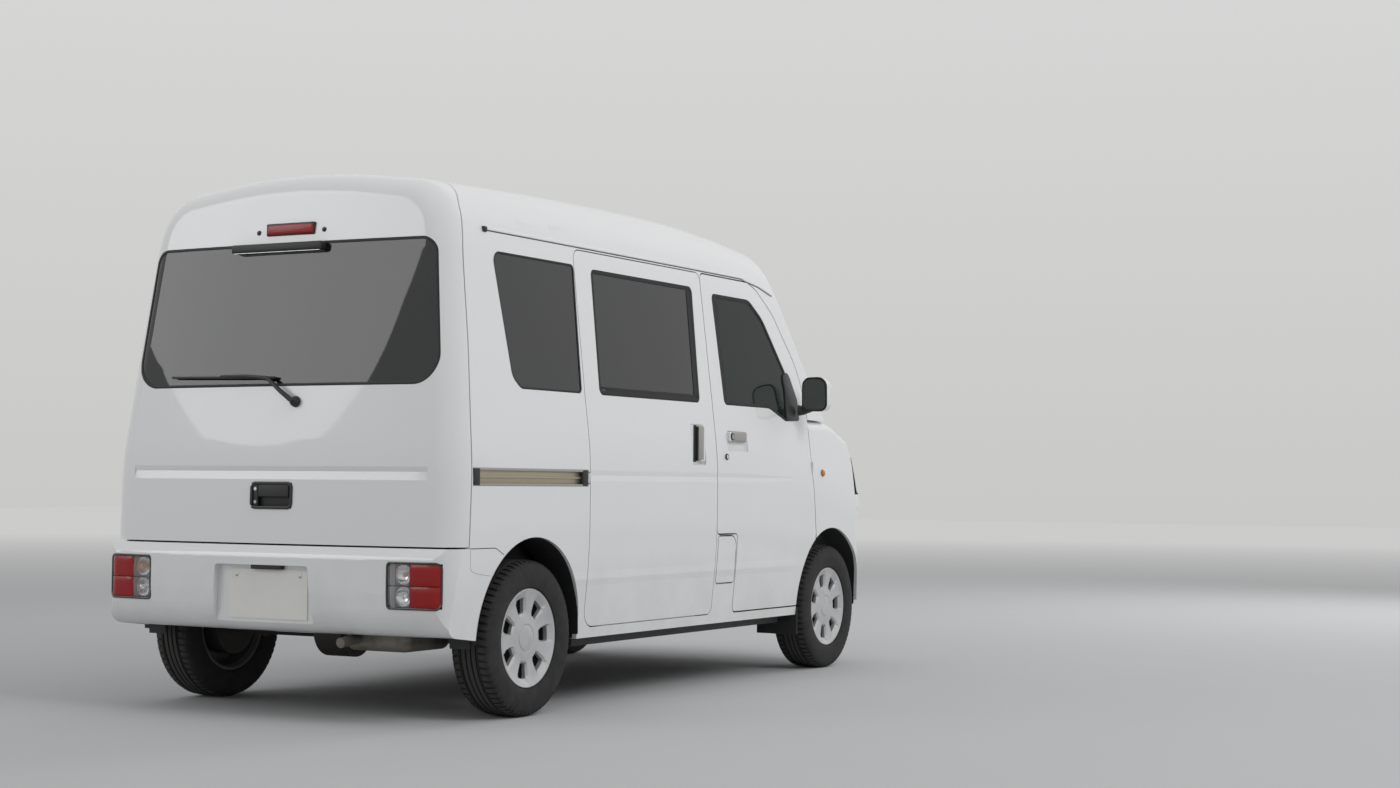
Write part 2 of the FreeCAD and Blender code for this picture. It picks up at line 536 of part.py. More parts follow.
# Floor: load floor, seat box, footwell and toe board, cut round the wheels
INNER_HALF = INNER_X
FLOOR_REAR_Y = 1545.0
FLOOR_OUTLINE = [(FLOOR_REAR_Y, FLOOR_Z), (-150 + FLOOR_T, FLOOR_Z), (-150 + FLOOR_T, 690), (-750 - FLOOR_T, 690),
                 (-750 - FLOOR_T, 430), (-1280, 430), (-1400, 700), (-1400, 1020), (-1425, 1020),
                 (-1425, 700 - 5), (-1296, 430 - FLOOR_T), (-750, 430 - FLOOR_T), (-750, 690 - FLOOR_T),
                 (-150, 690 - FLOOR_T), (-150, FLOOR_Z - FLOOR_T), (FLOOR_REAR_Y, FLOOR_Z - FLOOR_T)]
floor = side_prism([(y, z, 0) for y, z in FLOOR_OUTLINE], -INNER_HALF, INNER_HALF)
FRONT_HOUSE_X = 415.0
REAR_HOUSE_X = 545.0


def wheel_house(axle_y, inner_x, half_run, top):
    """A box over a wheel, open below and outwards, and the space inside it."""
    block = box(inner_x, 900, axle_y - half_run, axle_y + half_run, 200, top)
    space = box(inner_x + 8, 900, axle_y - half_run + 8, axle_y + half_run - 8, 0, top - 8)
    return block, space


houses = [wheel_house(FRONT_AXLE_Y, FRONT_HOUSE_X, 335, 720), wheel_house(REAR_AXLE_Y, REAR_HOUSE_X, 335, 700)]
for block, space in houses:
    for part, hollow in ((block, space), (mirrored(block), mirrored(space))):
        floor = floor.fuse(part.common(box(-INNER_HALF, INNER_HALF, -1560, 1600, 300, 1000)))
for block, space in houses:
    floor = floor.cut(space).cut(mirrored(space))
floor = floor.common(CAVITY.fuse(OUTER[WALL][NOSE]).fuse(OPEN_BOTTOM))
for s in (-1, 1):
    floor = floor.fuse(Part.makeCylinder(32, 40, on_kingpin(690, s) + kingpin_axis(s) * SEAT, kingpin_axis(s)))
floor = floor.cut(pieces["front_bumper"]).cut(pieces["rear_bumper"])
for x0, x1 in ((-900, GAP - INNER_HALF), (INNER_HALF - GAP, 900)):
    floor = floor.cut(box(x0, x1, DOOR_FRONT_Y - 60, DOOR_SPLIT_Y + GAP, 250, 1700))
pieces["floor_pan"] = largest(floor)

# Pillars between the doors, joined by a bow under the roof
PILLAR_Y = (-205.0, -130.0)
ring = front_prism(inset(SECTION, WALL + GAP + 3), *PILLAR_Y).cut(front_prism(inset(SECTION, WALL + 40), *PILLAR_Y))
ring.translate(Vector(0, 0, -(CREST_Y - PILLAR_Y[0]) ** 2 / (2 * ROOF_R_FRONT)))
pieces["door_pillars"] = largest(ring.common(box(-900, 900, -300, 0, 690 + SEAT, 2000)))

# Chassis rails and crossmembers
RAIL_X = 370.0
RAIL_HALF = 25.0
RAIL_TOP = 430 - FLOOR_T - SEAT
RAIL_H = 80.0
AXLE_TOP = FLOOR_Z - FLOOR_T - SEAT
TAIL_TOP = 480.0
RAIL_LINE = [(1600, TAIL_TOP - RAIL_H), (1450, TAIL_TOP - RAIL_H), (1350, AXLE_TOP - RAIL_H),
             (950, AXLE_TOP - RAIL_H), (820, RAIL_TOP - RAIL_H), (-1560, RAIL_TOP - RAIL_H), (-1560, RAIL_TOP),
             (840, RAIL_TOP), (960, AXLE_TOP), (1360, AXLE_TOP), (1470, TAIL_TOP), (1600, TAIL_TOP)]
rail = side_prism([(y, z, 0) for y, z in RAIL_LINE], RAIL_X - RAIL_HALF, RAIL_X + RAIL_HALF)
cross = [box(-RAIL_X, RAIL_X, y - 30, y + 30, z, z + 60) for y, z in
         ((1560, 410), (770, 335), (-820, 335), (-1520, 335))]
pieces["chassis_frame"] = fused([rail, mirrored(rail)] + cross)

# Engine and gearbox as one block under the front seats, on mounts between the rails
RAIL_INNER = RAIL_X - RAIL_HALF - SEAT
pieces["engine_block"] = fused([box(-210, 210, -710, -290, 300, 640), box(10, 130, -300, -60, 330, 470),
                                box(-RAIL_INNER, RAIL_INNER, -560, -480, 345, 395)])
pieces["fuel_tank"] = rounded_box(-RAIL_INNER, -70, 120, 720, 330, 560, 25)

# Rear axle, with its differential and trailing arms
DIFF_X = 70.0
ARM_PIVOT = (640.0, 365.0)
axle = [rod((-575, REAR_AXLE_Y, HUB_Z), (575, REAR_AXLE_Y, HUB_Z), 32),
        rod((DIFF_X - 60, REAR_AXLE_Y, HUB_Z), (DIFF_X + 60, REAR_AXLE_Y, HUB_Z), 96),
        Part.makeSphere(96, Vector(DIFF_X, REAR_AXLE_Y, HUB_Z)),
        rod((DIFF_X, REAR_AXLE_Y - 180, HUB_Z), (DIFF_X, REAR_AXLE_Y, HUB_Z), 45)]
for s in (-1, 1):
    axle.append(rod((s * 575, REAR_AXLE_Y, HUB_Z), (s * 700, REAR_AXLE_Y, HUB_Z), SPINDLE_R))
    axle.append(rod((s * 430, REAR_AXLE_Y, HUB_Z - 20), (s * 430, *ARM_PIVOT), 20))
    axle.append(rod((s * (RAIL_X + RAIL_HALF + SEAT), *ARM_PIVOT), (s * 450, *ARM_PIVOT), 24))
    axle.append(rod((s * 370, REAR_AXLE_Y, HUB_Z), (s * 370, REAR_AXLE_Y, AXLE_TOP - RAIL_H - SEAT), 40))
    axle.append(rod((s * 565, REAR_AXLE_Y, HUB_Z), (s * 642, REAR_AXLE_Y, HUB_Z), 108))
    axle.append(rod((s * 480, REAR_AXLE_Y, HUB_Z), (s * 480, REAR_AXLE_Y + 60, AXLE_TOP - 10), 18))
    axle.append(rod((s * 480, REAR_AXLE_Y + 60, AXLE_TOP - 60), (s * 480, REAR_AXLE_Y + 60, AXLE_TOP), 26))
pieces["rear_axle"] = fused(axle)

# Prop shaft and exhaust
prop_shaft = rod((DIFF_X, REAR_AXLE_Y - 150, HUB_Z), (DIFF_X, -90, 400), 28)
pieces["prop_shaft"] = prop_shaft.common(box(0, 200, -60 + SEAT, REAR_AXLE_Y - 180 - SEAT, 0, 600))
tail = rod((-300, 1520, 275), (-300, 1655, 262), 17)
hanger = box(-380, -360, 1480, 1520, 300, TAIL_TOP - RAIL_H - SEAT)
pieces["exhaust"] = fused([rounded_box(-500, -240, 1300, 1560, 230, 345, 30), tail, hanger])

# Dashboard and seats
DASH_FRONT = -1400 + SEAT
dash = side_prism([(DASH_FRONT, 1015, 0), (-1380, 1045, 0), (-1260, 1060, 40), (-1085, 1040, 30), (-1085, 900, 40),
                   (-1130, 760, 30), (-1180, 740, 0), (DASH_FRONT, 900, 0)], -INNER_HALF + 30, INNER_HALF - 30)
pieces["dashboard"] = largest(dash.common(CAVITY.fuse(OUTER[WALL][NOSE])))


def seat(x0, x1, y_front, y_hip, z_base, z_top, lean):
    cushion = box(x0, x1, y_front, y_hip + 60, z_base, z_base + 130)
    cushion = cushion.makeFillet(30, [e for e in cushion.Edges])
    back = side_prism([(y_hip, z_base + 60, 30), (y_hip + lean, z_top, 35), (y_hip + lean + 90, z_top, 35),
                       (y_hip + 110, z_base + 60, 30)], x0 + 10, x1 - 10)
    return cushion, back


def headrest(x, y, z):
    pad = rounded_box(x - 120, x + 120, y - 45, y + 45, z, z + 150, 30)
    return [pad, rod((x - 50, y, z - 60), (x - 50, y, z + 20), 6), rod((x + 50, y, z - 60), (x + 50, y, z + 20), 6)]


front_seats = []
for s in (-1, 1):
    cushion, back = seat(s * 360 - 230, s * 360 + 230, -730, -300, 690 + SEAT, 1290, 110)
    front_seats.append(fused([cushion, back] + headrest(s * 360, -150, 1310)))
pieces["front_seats"] = Part.makeCompound(front_seats)
cushion, back = seat(-590, 590, 230, 640, FLOOR_Z + 120, 1230, 90)
legs = [box(x - 20, x + 20, 300, 660, FLOOR_Z + SEAT, FLOOR_Z + 140) for x in (-450, 0, 450)]
pieces["rear_seat"] = fused([cushion, back] + legs + headrest(-300, 775, 1250) + headrest(300, 775, 1250))

# Steering column, fixed, and the wheel on its shaft
STEER_X = -345.0
STEER_CENTRE = Vector(STEER_X, -985, 1055)
STEER_AXIS = Vector(0, 0.64, 0.768)
column = Part.makeCylinder(28, 330, STEER_CENTRE - STEER_AXIS * 400, STEER_AXIS)
pieces["dashboard"] = pieces["dashboard"].fuse(column).removeSplitter()
across = Vector(1, 0, 0)
grip = [STEER_CENTRE + across * (178 + 14 * math.cos(t)) + STEER_AXIS * (14 * math.sin(t))
        for t in (math.radians(22.5 + 30 * k) for k in range(12))]
ring = Part.Face(Part.makePolygon(grip + grip[:1])).revolve(STEER_CENTRE, STEER_AXIS, 360)
hub = Part.makeCylinder(50, 45, STEER_CENTRE - STEER_AXIS * 55, STEER_AXIS)
shaft = Part.makeCylinder(12, 30, STEER_CENTRE - STEER_AXIS * (70 - SEAT), STEER_AXIS)
down = across.cross(STEER_AXIS)
spokes = []
for angle in (0, 180, 270):
    direction = across * math.cos(math.radians(angle)) + down * math.sin(math.radians(angle))
    spokes.append(Part.makeCylinder(14, 170, STEER_CENTRE - STEER_AXIS * 20 + direction * 8,
                                    direction + STEER_AXIS * 0.1))
pieces["steering_wheel"] = fused([ring, hub, shaft] + spokes)

# Wheels: a tyre and a rim with its cover, at each corner
COVER_SPOKES = 7
HALF_TYRE = [(68, RIM_R + 2, 0), (76, 195, 0), (77.5, 218, 0), (74, 246, 0), (66, TYRE_R - 5, 0), (50, TYRE_R, 0)]
TYRE_OUTLINE = [(-x, r, c) for x, r, c in HALF_TYRE] + HALF_TYRE[::-1]
RIM_OUTLINE = [(-66, RIM_R + 1.7, 0), (-66, RIM_R - 14, 0), (40, RIM_R - 20, 0), (40, SPINDLE_R + SEAT, 0),
               (58, SPINDLE_R + SEAT, 0), (60, 58, 0), (53, 66, 0), (51, 90, 0), (54, 122, 0), (61, 157, 0),
               (72, RIM_R - 4, 0), (72, RIM_R + 1.7, 0)]


def turned(outline, x, axle_y):
    """An outline of X and radius turned about a wheel's axle."""
    profile = face([(a, b, r) for a, b, r in outline], lambda a, b: Vector(x + a, axle_y, HUB_Z + b))
    return profile.revolve(Vector(x, axle_y, HUB_Z), Vector(1, 0, 0), 360)


def cover_windows(x, axle_y):
    cuts = []
    for i in range(COVER_SPOKES):
        window = face([(-14, 92, 6), (-29, 143, 8), (29, 143, 8), (14, 92, 6)],
                      lambda a, b: Vector(x + 44, axle_y + a, HUB_Z + b)).extrude(Vector(40, 0, 0))
        window.rotate(Vector(x, axle_y, HUB_Z), Vector(1, 0, 0), 360 / COVER_SPOKES * (i + 0.5))
        cuts.append(window)
    return cuts


for end, axle_y, track in (("front", FRONT_AXLE_Y, FRONT_TRACK), ("rear", REAR_AXLE_Y, REAR_TRACK)):
    x = track / 2
    tyre = turned(TYRE_OUTLINE, x, axle_y)
    rim = turned(RIM_OUTLINE, x, axle_y)
    for window in cover_windows(x, axle_y):
        rim = rim.cut(window)
    sides("tyre_" + end, tyre)
    sides("wheel_" + end, rim)

# Front suspension: lower arms and springs stay with the body, knuckles and struts turn
BALL_R = 17.0
foot = on_kingpin(KINGPIN_LOW[1])
pin_start = foot + kingpin_axis(1) * (BALL_R + SEAT)
pin = Part.makeCylinder(6, 30, pin_start, kingpin_axis(1))
post_start = foot + kingpin_axis(1) * (BALL_R + 12)
post = Part.makeCylinder(13, (on_kingpin(560) - post_start).Length, post_start, kingpin_axis(1))
strut = Part.makeCylinder(24, (on_kingpin(690) - on_kingpin(545)).Length, on_kingpin(545), kingpin_axis(1))
carrier = rod((560, FRONT_AXLE_Y, HUB_Z), (605, FRONT_AXLE_Y, HUB_Z), 42)
spindle = rod((600, FRONT_AXLE_Y, HUB_Z), (FRONT_TRACK / 2 + 50, FRONT_AXLE_Y, HUB_Z), SPINDLE_R)
brake_disc = rod((628, FRONT_AXLE_Y, HUB_Z), (645, FRONT_AXLE_Y, HUB_Z), 108)
sides("knuckle", fused([pin, post, strut, carrier, spindle, brake_disc]))
ARM_X = 335.0
ARM_Z = 230.0
arms = []
for s in (-1, 1):
    tip = on_kingpin(KINGPIN_LOW[1], s)
    arms.append(fused([rod((s * ARM_X, FRONT_AXLE_Y - 60, ARM_Z), tip, 12),
                       rod((s * ARM_X, FRONT_AXLE_Y + 120, ARM_Z), tip, 12),
                       Part.makeSphere(BALL_R, tip),
                       rod((s * ARM_X, FRONT_AXLE_Y - 90, ARM_Z), (s * ARM_X, FRONT_AXLE_Y + 150, ARM_Z), 26),
                       rod((s * ARM_X, FRONT_AXLE_Y, ARM_Z), (s * ARM_X, FRONT_AXLE_Y, RAIL_TOP - RAIL_H - SEAT), 28)]))
pieces["front_suspension"] = Part.makeCompound(arms)

# Mirrors on the front doors
mirror = rounded_box(748, 868, -985, -905, 1100, 1255, 28)
foot = box(690, 775, -985, -925, 1085, 1125)
mirror_piece = fused([mirror, foot]).cut(FULL)
sides("mirror", largest(mirror_piece))

# Mud flaps, the rear plate and the wipers
FLAP_Y = FRONT_AXLE_Y + ARCH_R - SEAT
flap = box(600, 722, FLAP_Y - 6, FLAP_Y, 160, DOOR_BOTTOM - 2 * GAP)
pieces["mud_flaps"] = Part.makeCompound([flap, mirrored(flap)])
plate = box(-175, 155, RECESS_Y + SEAT, RECESS_Y + SEAT + 4, 332, 497)
pieces["rear_plate"] = plate

# Rear wiper, parked across the glass
WIPER_PIVOT = (-88.0, 1059.0)
blade = front_prism([(15, 1128, 4), (455, 1136, 4), (455, 1150, 4), (15, 1146, 4)], 1640, 1652)
arm = front_prism([(-95, 1052, 6), (-78, 1048, 6), (40, 1132, 0), (30, 1142, 0)], 1652, 1662)
cap = rod((WIPER_PIVOT[0], 1640, WIPER_PIVOT[1]), (WIPER_PIVOT[0], 1668, WIPER_PIVOT[1]), 16)
pieces["rear_wiper"] = fused([blade, arm, cap]).cut(FULL)

for name, shape in pieces.items():
    shape.exportStep("parts/%s.step" % name)
    print("%-18s valid %s solids %d volume %.4f m3" % (name, shape.isValid(), len(shape.Solids), shape.Volume / 1e9))
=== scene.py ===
"""A kei van with a high roof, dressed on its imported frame: panels, glass, trim, wheels, cabin and studio."""

import math

import bmesh
import bpy
from mathutils import Matrix, Vector
from mathutils.bvhtree import BVHTree


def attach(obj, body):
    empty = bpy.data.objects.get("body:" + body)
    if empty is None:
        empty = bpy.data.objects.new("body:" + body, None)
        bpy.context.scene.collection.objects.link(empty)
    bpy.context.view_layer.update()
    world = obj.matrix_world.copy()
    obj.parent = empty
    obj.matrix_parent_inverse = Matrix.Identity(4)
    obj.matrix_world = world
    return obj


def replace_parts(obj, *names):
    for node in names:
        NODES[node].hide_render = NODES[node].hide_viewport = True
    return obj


bl_info = {
    "name": "Kei Van Dresser",
    "version": (1, 0, 0),
    "blender": (4, 5, 0),
    "location": "View3D > Sidebar > Kei Van",
    "description": "Builds the visible pieces of a high-roof kei van on its solid frame",
    "category": "Object",
}

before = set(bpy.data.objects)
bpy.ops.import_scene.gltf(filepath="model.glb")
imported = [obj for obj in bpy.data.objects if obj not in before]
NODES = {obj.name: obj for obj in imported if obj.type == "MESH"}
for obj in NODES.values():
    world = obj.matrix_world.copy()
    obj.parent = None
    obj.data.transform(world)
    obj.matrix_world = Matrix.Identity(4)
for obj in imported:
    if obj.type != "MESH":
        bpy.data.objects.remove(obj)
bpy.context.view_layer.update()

# Places and sizes shared by several pieces, in metres
REAR_AXLE_Y, FRONT_AXLE_Y = 1.157, -1.241
HUB_Z = 0.266
AXLES_MIDDLE, HALF_WHEELBASE = -0.042, 1.199
ARCH_Z, ARCH_LINER_RADIUS = 0.291, 0.3166
FRONT_HALF_TRACK, REAR_HALF_TRACK = 0.650, 0.645
SIDES = (("left", 1), ("right", -1))
# the radius of a turned profile where it closes on its axis
TIP = 0.0001


# Shader writing

class Wire:
    """A shader socket that can be used in arithmetic."""

    def __init__(self, tree, socket):
        self.tree, self.socket = tree, socket

    def maths(self, operation, *others):
        node = self.tree.nodes.new("ShaderNodeMath")
        node.operation = operation
        for slot, value in zip(node.inputs, (self,) + others):
            connect(self.tree, slot, value)
        return Wire(self.tree, node.outputs[0])

    def __add__(self, other):
        return self.maths("ADD", other)

    def __sub__(self, other):
        return self.maths("SUBTRACT", other)

    def __mul__(self, other):
        return self.maths("MULTIPLY", other)

    def __pow__(self, other):
        return self.maths("POWER", other)

    def __rsub__(self, other):
        return self * -1.0 + other

    __radd__ = __add__
    __rmul__ = __mul__

    def clamped(self):
        return self.maths("MAXIMUM", 0.0).maths("MINIMUM", 1.0)

    def ramp(self, start, end):
        """0 at start and 1 at end, straight between them."""
        return ((self - start) * (1.0 / (end - start))).clamped()


def connect(tree, slot, value):
    if isinstance(value, Wire):
        tree.links.new(value.socket, slot)
    elif slot.type == "RGBA":
        slot.default_value = (*value, 1.0)[:4]
    else:
        slot.default_value = value


def socket_name(key):
    return key.replace("_", " ").title().replace("Ior", "IOR")


class Finish:
    """A material being written: its main shader and any nodes that feed it."""

    def __init__(self, name, **sockets):
        self.material = bpy.data.materials.new(name)
        self.material.use_nodes = True
        self.tree = self.material.node_tree
        self.shader = self.tree.nodes["Principled BSDF"]
        self.wear(**sockets)

    def wear(self, **sockets):
        for name, value in sockets.items():
            connect(self.tree, self.shader.inputs[socket_name(name)], value)

    def add(self, kind, settings=None, output=0, **inputs):
        node = self.tree.nodes.new("ShaderNode" + kind)
        for key, value in (settings or {}).items():
            setattr(node, key, value)
        for key, value in inputs.items():
            connect(self.tree, node.inputs[int(key[1:]) if key[0] == "_" else socket_name(key)], value)
        return Wire(self.tree, node.outputs[output])

    def place(self):
        return self.add("TexCoord", output=3)

    def axes(self):
        split = self.add("SeparateXYZ", Vector=self.place())
        return [Wire(self.tree, split.socket.node.outputs[i]) for i in range(3)]

    def noise(self, scale, detail, roughness=0.5):
        return self.add("TexNoise", Vector=self.place(), Scale=scale, Detail=detail, Roughness=roughness)

    def bump(self, height, strength, distance):
        self.wear(Normal=self.add("Bump", Height=height, Strength=strength, Distance=distance))

    def blend(self, factor, a, b):
        return self.add("Mix", {"data_type": "RGBA"}, output=2, _0=factor, _6=a, _7=b)


def grained(name, colour, roughness, scale, strength, **more):
    """A plain finish with a fine grain, and a colour and gloss that vary a little."""
    finish = Finish(name, **more)
    broad = finish.noise(7.0, 4.0, 0.6)
    dark, light = [tuple(c * f for c in colour) for f in (0.92, 1.08)]
    finish.wear(Base_Color=finish.blend(broad, dark, light), Roughness=broad * 0.12 + (roughness - 0.06))
    finish.bump(finish.noise(scale, 2.0), strength, 0.0005)
    return finish.material


PAINT = (0.80, 0.81, 0.82)
FOLD_FOOT, FOLD_LINE, FOLD_TOP = 0.432, 0.454, 0.482


def body_paint():
    finish = Finish("body_paint", Coat_Weight=0.9, Coat_Roughness=0.04, Specular_IOR_Level=0.5)
    x, y, z = finish.axes()
    film = finish.noise(5.0, 5.0, 0.6)
    dust = ((1.0 - z.ramp(0.22, 0.62)) * film.ramp(0.35, 0.75)).clamped() * 0.45
    white = finish.blend(finish.noise(1.6, 2.0), PAINT, tuple(c * 0.975 for c in PAINT))
    finish.wear(Base_Color=finish.blend(dust, white, (0.56, 0.54, 0.5)), Roughness=film * 0.08 + 0.26)
    # the soft fold low on the doors
    fold = z.ramp(FOLD_FOOT, FOLD_LINE) * (1.0 - z.ramp(FOLD_LINE, FOLD_TOP))
    on_side = x.maths("ABSOLUTE").ramp(0.706, 0.712) * y.ramp(-1.0, -0.8) * (1.0 - y.ramp(1.25, 1.4))
    finish.bump(fold * on_side + finish.noise(38.0, 1.0) * 0.01, 1.0, 0.0022)
    return finish.material


def pane_finish(name, tint, body):
    """Glass that lets light straight through, more at the middle and less towards its edge of view."""
    finish = Finish(name, Base_Color=tint, Roughness=0.02, IOR=1.5, Coat_Weight=0.6, Coat_Roughness=0.0)
    rim = finish.add("Fresnel", IOR=1.5)
    finish.wear(Alpha=(rim * (1.0 - body) + body).clamped())
    finish.bump(finish.noise(3.0, 1.0), 0.012, 0.002)
    return finish.material


def tyre_rubber():
    finish = Finish("tyre_rubber", Specular_IOR_Level=0.35)
    _, y, z = finish.axes()
    from_axle = (y - AXLES_MIDDLE).maths("ABSOLUTE") - HALF_WHEELBASE
    radius = (from_axle * from_axle + (z - HUB_Z) * (z - HUB_Z)) ** 0.5
    dirt = finish.noise(22.0, 5.0, 0.65)
    worn = radius.ramp(0.262, 0.2665) * 0.6
    grey = finish.blend(dirt.ramp(0.3, 0.8), (0.018, 0.018, 0.019), (0.045, 0.043, 0.041))
    finish.wear(Base_Color=finish.blend(worn, grey, (0.075, 0.072, 0.068)), Roughness=dirt * 0.2 + 0.62)
    rings = (radius * 1500.0).maths("SINE") * radius.ramp(0.178, 0.182) * (1.0 - radius.ramp(0.186, 0.19))
    finish.bump(rings * 0.5 + finish.noise(420.0, 2.0) * 0.4, 0.3, 0.0006)
    return finish.material


def silver_cover():
    finish = Finish("silver_cover", Metallic=0.55, Coat_Weight=0.35, Coat_Roughness=0.15)
    flake = finish.noise(900.0, 1.0)
    grime = finish.noise(16.0, 5.0, 0.6).ramp(0.45, 0.8)
    finish.wear(Base_Color=finish.blend(grime * 0.3, (0.60, 0.61, 0.62), (0.36, 0.34, 0.31)),
                Roughness=grime * 0.2 + 0.3)
    finish.bump(flake, 0.05, 0.0003)
    return finish.material


def underside_steel(name, colour, rust, metallic=0.3):
    finish = Finish(name, Metallic=metallic)
    patches = finish.noise(14.0, 6.0, 0.7).ramp(0.48, 0.72)
    finish.wear(Base_Color=finish.blend(patches * 0.7, colour, rust), Roughness=patches * 0.25 + 0.55)
    finish.bump(finish.noise(160.0, 4.0), 0.35, 0.001)
    return finish.material


def seat_cloth():
    finish = Finish("seat_cloth", Roughness=0.9, Sheen_Weight=0.35, Sheen_Roughness=0.4)
    x, y, z = finish.axes()
    weave = (x * 2600.0).maths("SINE") * ((y + z) * 2600.0).maths("SINE")
    tone = finish.noise(9.0, 4.0, 0.6) * 0.5 + finish.noise(240.0, 2.0) * 0.5
    finish.wear(Base_Color=finish.blend(tone.ramp(0.3, 0.7), (0.13, 0.135, 0.145), (0.21, 0.215, 0.225)))
    finish.bump(weave * 0.5 + tone, 0.4, 0.0008)
    return finish.material


def lens(name, colour, alpha, emission=0.0):
    finish = Finish(name, Base_Color=colour, Roughness=0.12, Coat_Weight=0.35, Coat_Roughness=0.04,
                    Alpha=alpha, Specular_IOR_Level=0.3, Emission_Color=colour, Emission_Strength=emission)
    x, _, z = finish.axes()
    ribs = (x * 1300.0).maths("SINE") * 0.5 + (z * 900.0).maths("SINE") * 0.5
    finish.bump(ribs, 0.25, 0.0006)
    return finish.material


def shiny(name, colour, metallic, roughness):
    finish = Finish(name, Metallic=metallic)
    smear = finish.noise(30.0, 4.0, 0.6)
    finish.wear(Base_Color=finish.blend(smear, colour, tuple(c * 0.9 for c in colour)),
                Roughness=smear * 0.08 + roughness)
    return finish.material


LOOKS = {}


def make_finishes():
    LOOKS.update(
        paint=body_paint(),
        dark_glass=pane_finish("privacy_glass", (0.010, 0.012, 0.012), 0.86),
        clear_glass=pane_finish("clear_glass", (0.03, 0.045, 0.038), 0.30),
        tyre=tyre_rubber(),
        cover=silver_cover(),
        wheel_steel=underside_steel("wheel_steel", (0.17, 0.17, 0.175), (0.15, 0.12, 0.10), 0.4),
        black=grained("black_plastic", (0.020, 0.020, 0.021), 0.48, 700.0, 0.12),
        trim=grained("dark_trim", (0.045, 0.046, 0.048), 0.42, 500.0, 0.1),
        seal=grained("rubber_seal", (0.014, 0.014, 0.015), 0.6, 300.0, 0.1),
        # painted shade: a near-black finish for the disc that darkens the wheel covers' windows
        void=grained("dark_void", (0.004, 0.004, 0.004), 0.9, 90.0, 0.02, Specular_IOR_Level=0.1),
        shadow=grained("thin_joint", (0.30, 0.31, 0.32), 0.6, 300.0, 0.1),
        cabin=grained("cabin_plastic", (0.16, 0.16, 0.165), 0.62, 900.0, 0.25),
        cabin_light=grained("cabin_lining", (0.42, 0.41, 0.39), 0.8, 500.0, 0.3),
        carpet=grained("cabin_carpet", (0.05, 0.05, 0.052), 0.95, 1200.0, 0.6),
        gloss=grained("gloss_black", (0.012, 0.012, 0.013), 0.14, 60.0, 0.01, Coat_Weight=0.8),
        cloth=seat_cloth(),
        casting=underside_steel("cast_steel", (0.055, 0.054, 0.052), (0.13, 0.075, 0.045)),
        chassis=underside_steel("chassis_black", (0.03, 0.03, 0.031), (0.085, 0.065, 0.05), 0.1),
        exhaust=underside_steel("exhaust_steel", (0.22, 0.21, 0.19), (0.16, 0.10, 0.06), 0.8),
        red=lens("red_lens", (0.27, 0.003, 0.004), 0.95, 0.12),
        clear=lens("clear_lens", (0.72, 0.73, 0.74), 0.16),
        amber=lens("amber_lens", (0.75, 0.26, 0.03), 0.85),
        reflector=shiny("lamp_reflector", (0.85, 0.86, 0.87), 1.0, 0.12),
        mirror=shiny("mirror_glass", (0.78, 0.80, 0.80), 1.0, 0.03),
        rail=shiny("rail_aluminium", (0.50, 0.45, 0.34), 0.85, 0.3),
        silver=shiny("handle_silver", (0.48, 0.47, 0.45), 0.75, 0.3),
        olive=underside_steel("olive_inner_panel", (0.085, 0.085, 0.062), (0.11, 0.10, 0.08), 0.0),
        plate=grained("blank_plate", (0.78, 0.77, 0.74), 0.4, 90.0, 0.03),
    )


# Mesh writing

def settle(piece, look, body):
    """Gives a finished piece its material and the body it rides on."""
    piece.data.materials.clear()
    piece.data.materials.append(LOOKS[look])
    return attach(piece, body)


def linked(name, mesh):
    piece = bpy.data.objects.new(name, mesh)
    bpy.context.scene.collection.objects.link(piece)
    return piece


def shaded(mesh, angle):
    """Smooth faces, with edges sharper than the angle kept crisp."""
    for polygon in mesh.polygons:
        polygon.use_smooth = True
    bm = bmesh.new()
    bm.from_mesh(mesh)
    for edge in bm.edges:
        edge.smooth = len(edge.link_faces) == 2 and edge.calc_face_angle(0.0) < math.radians(angle)
    bm.to_mesh(mesh)
    bm.free()
    mesh.update()


def solid(name, points, faces, look, body, angle=35.0, bevel=0.0, segments=2):
    """A piece from points and faces, with its normals set outwards and its edges eased."""
    mesh = bpy.data.meshes.new(name)
    mesh.from_pydata([Vector(p) for p in points], [], faces)
    bm = bmesh.new()
    bm.from_mesh(mesh)
    bmesh.ops.remove_doubles(bm, verts=bm.verts, dist=1e-6)
    bmesh.ops.recalc_face_normals(bm, faces=bm.faces)
    if bevel:
        edges = [e for e in bm.edges
                 if len(e.link_faces) == 2 and e.calc_face_angle(0.0) > math.radians(angle)]
        bmesh.ops.bevel(bm, geom=edges, offset=bevel, segments=segments, profile=0.5, affect="EDGES",
                        clamp_overlap=True)
    bm.to_mesh(mesh)
    bm.free()
    shaded(mesh, angle)
    return settle(linked(name, mesh), look, body)


def prism(outline, low, high):
    """Points and faces of an outline carried from low to high; both give a point for (a, b)."""
    count = len(outline)
    points = [low(a, b) for a, b in outline] + [high(a, b) for a, b in outline]
    faces = [list(range(count))[::-1], [count + i for i in range(count)]]
    faces += [[i, (i + 1) % count, count + (i + 1) % count, count + i] for i in range(count)]
    return points, faces


def rounded(corners, steps):
    """Points of an outline of (a, b, radius) corners, with each corner rounded."""
    result = []
    for i, (a, b, radius) in enumerate(corners):
        here = Vector((a, b))
        before, after = Vector(corners[i - 1][:2]), Vector(corners[(i + 1) % len(corners)][:2])
        u, v = (before - here).normalized(), (after - here).normalized()
        half = u.angle(v) / 2
        if radius <= 0 or half > 1.55:
            result.append((a, b))
            continue
        run = radius / math.tan(half)
        centre = here + (u + v).normalized() * (radius / math.sin(half))
        start, end = here + u * run - centre, here + v * run - centre
        turn = start.angle_signed(end)
        for k in range(steps + 1):
            spoke = Matrix.Rotation(-turn * k / steps, 2) @ start
            result.append(tuple(centre + spoke))
    return result


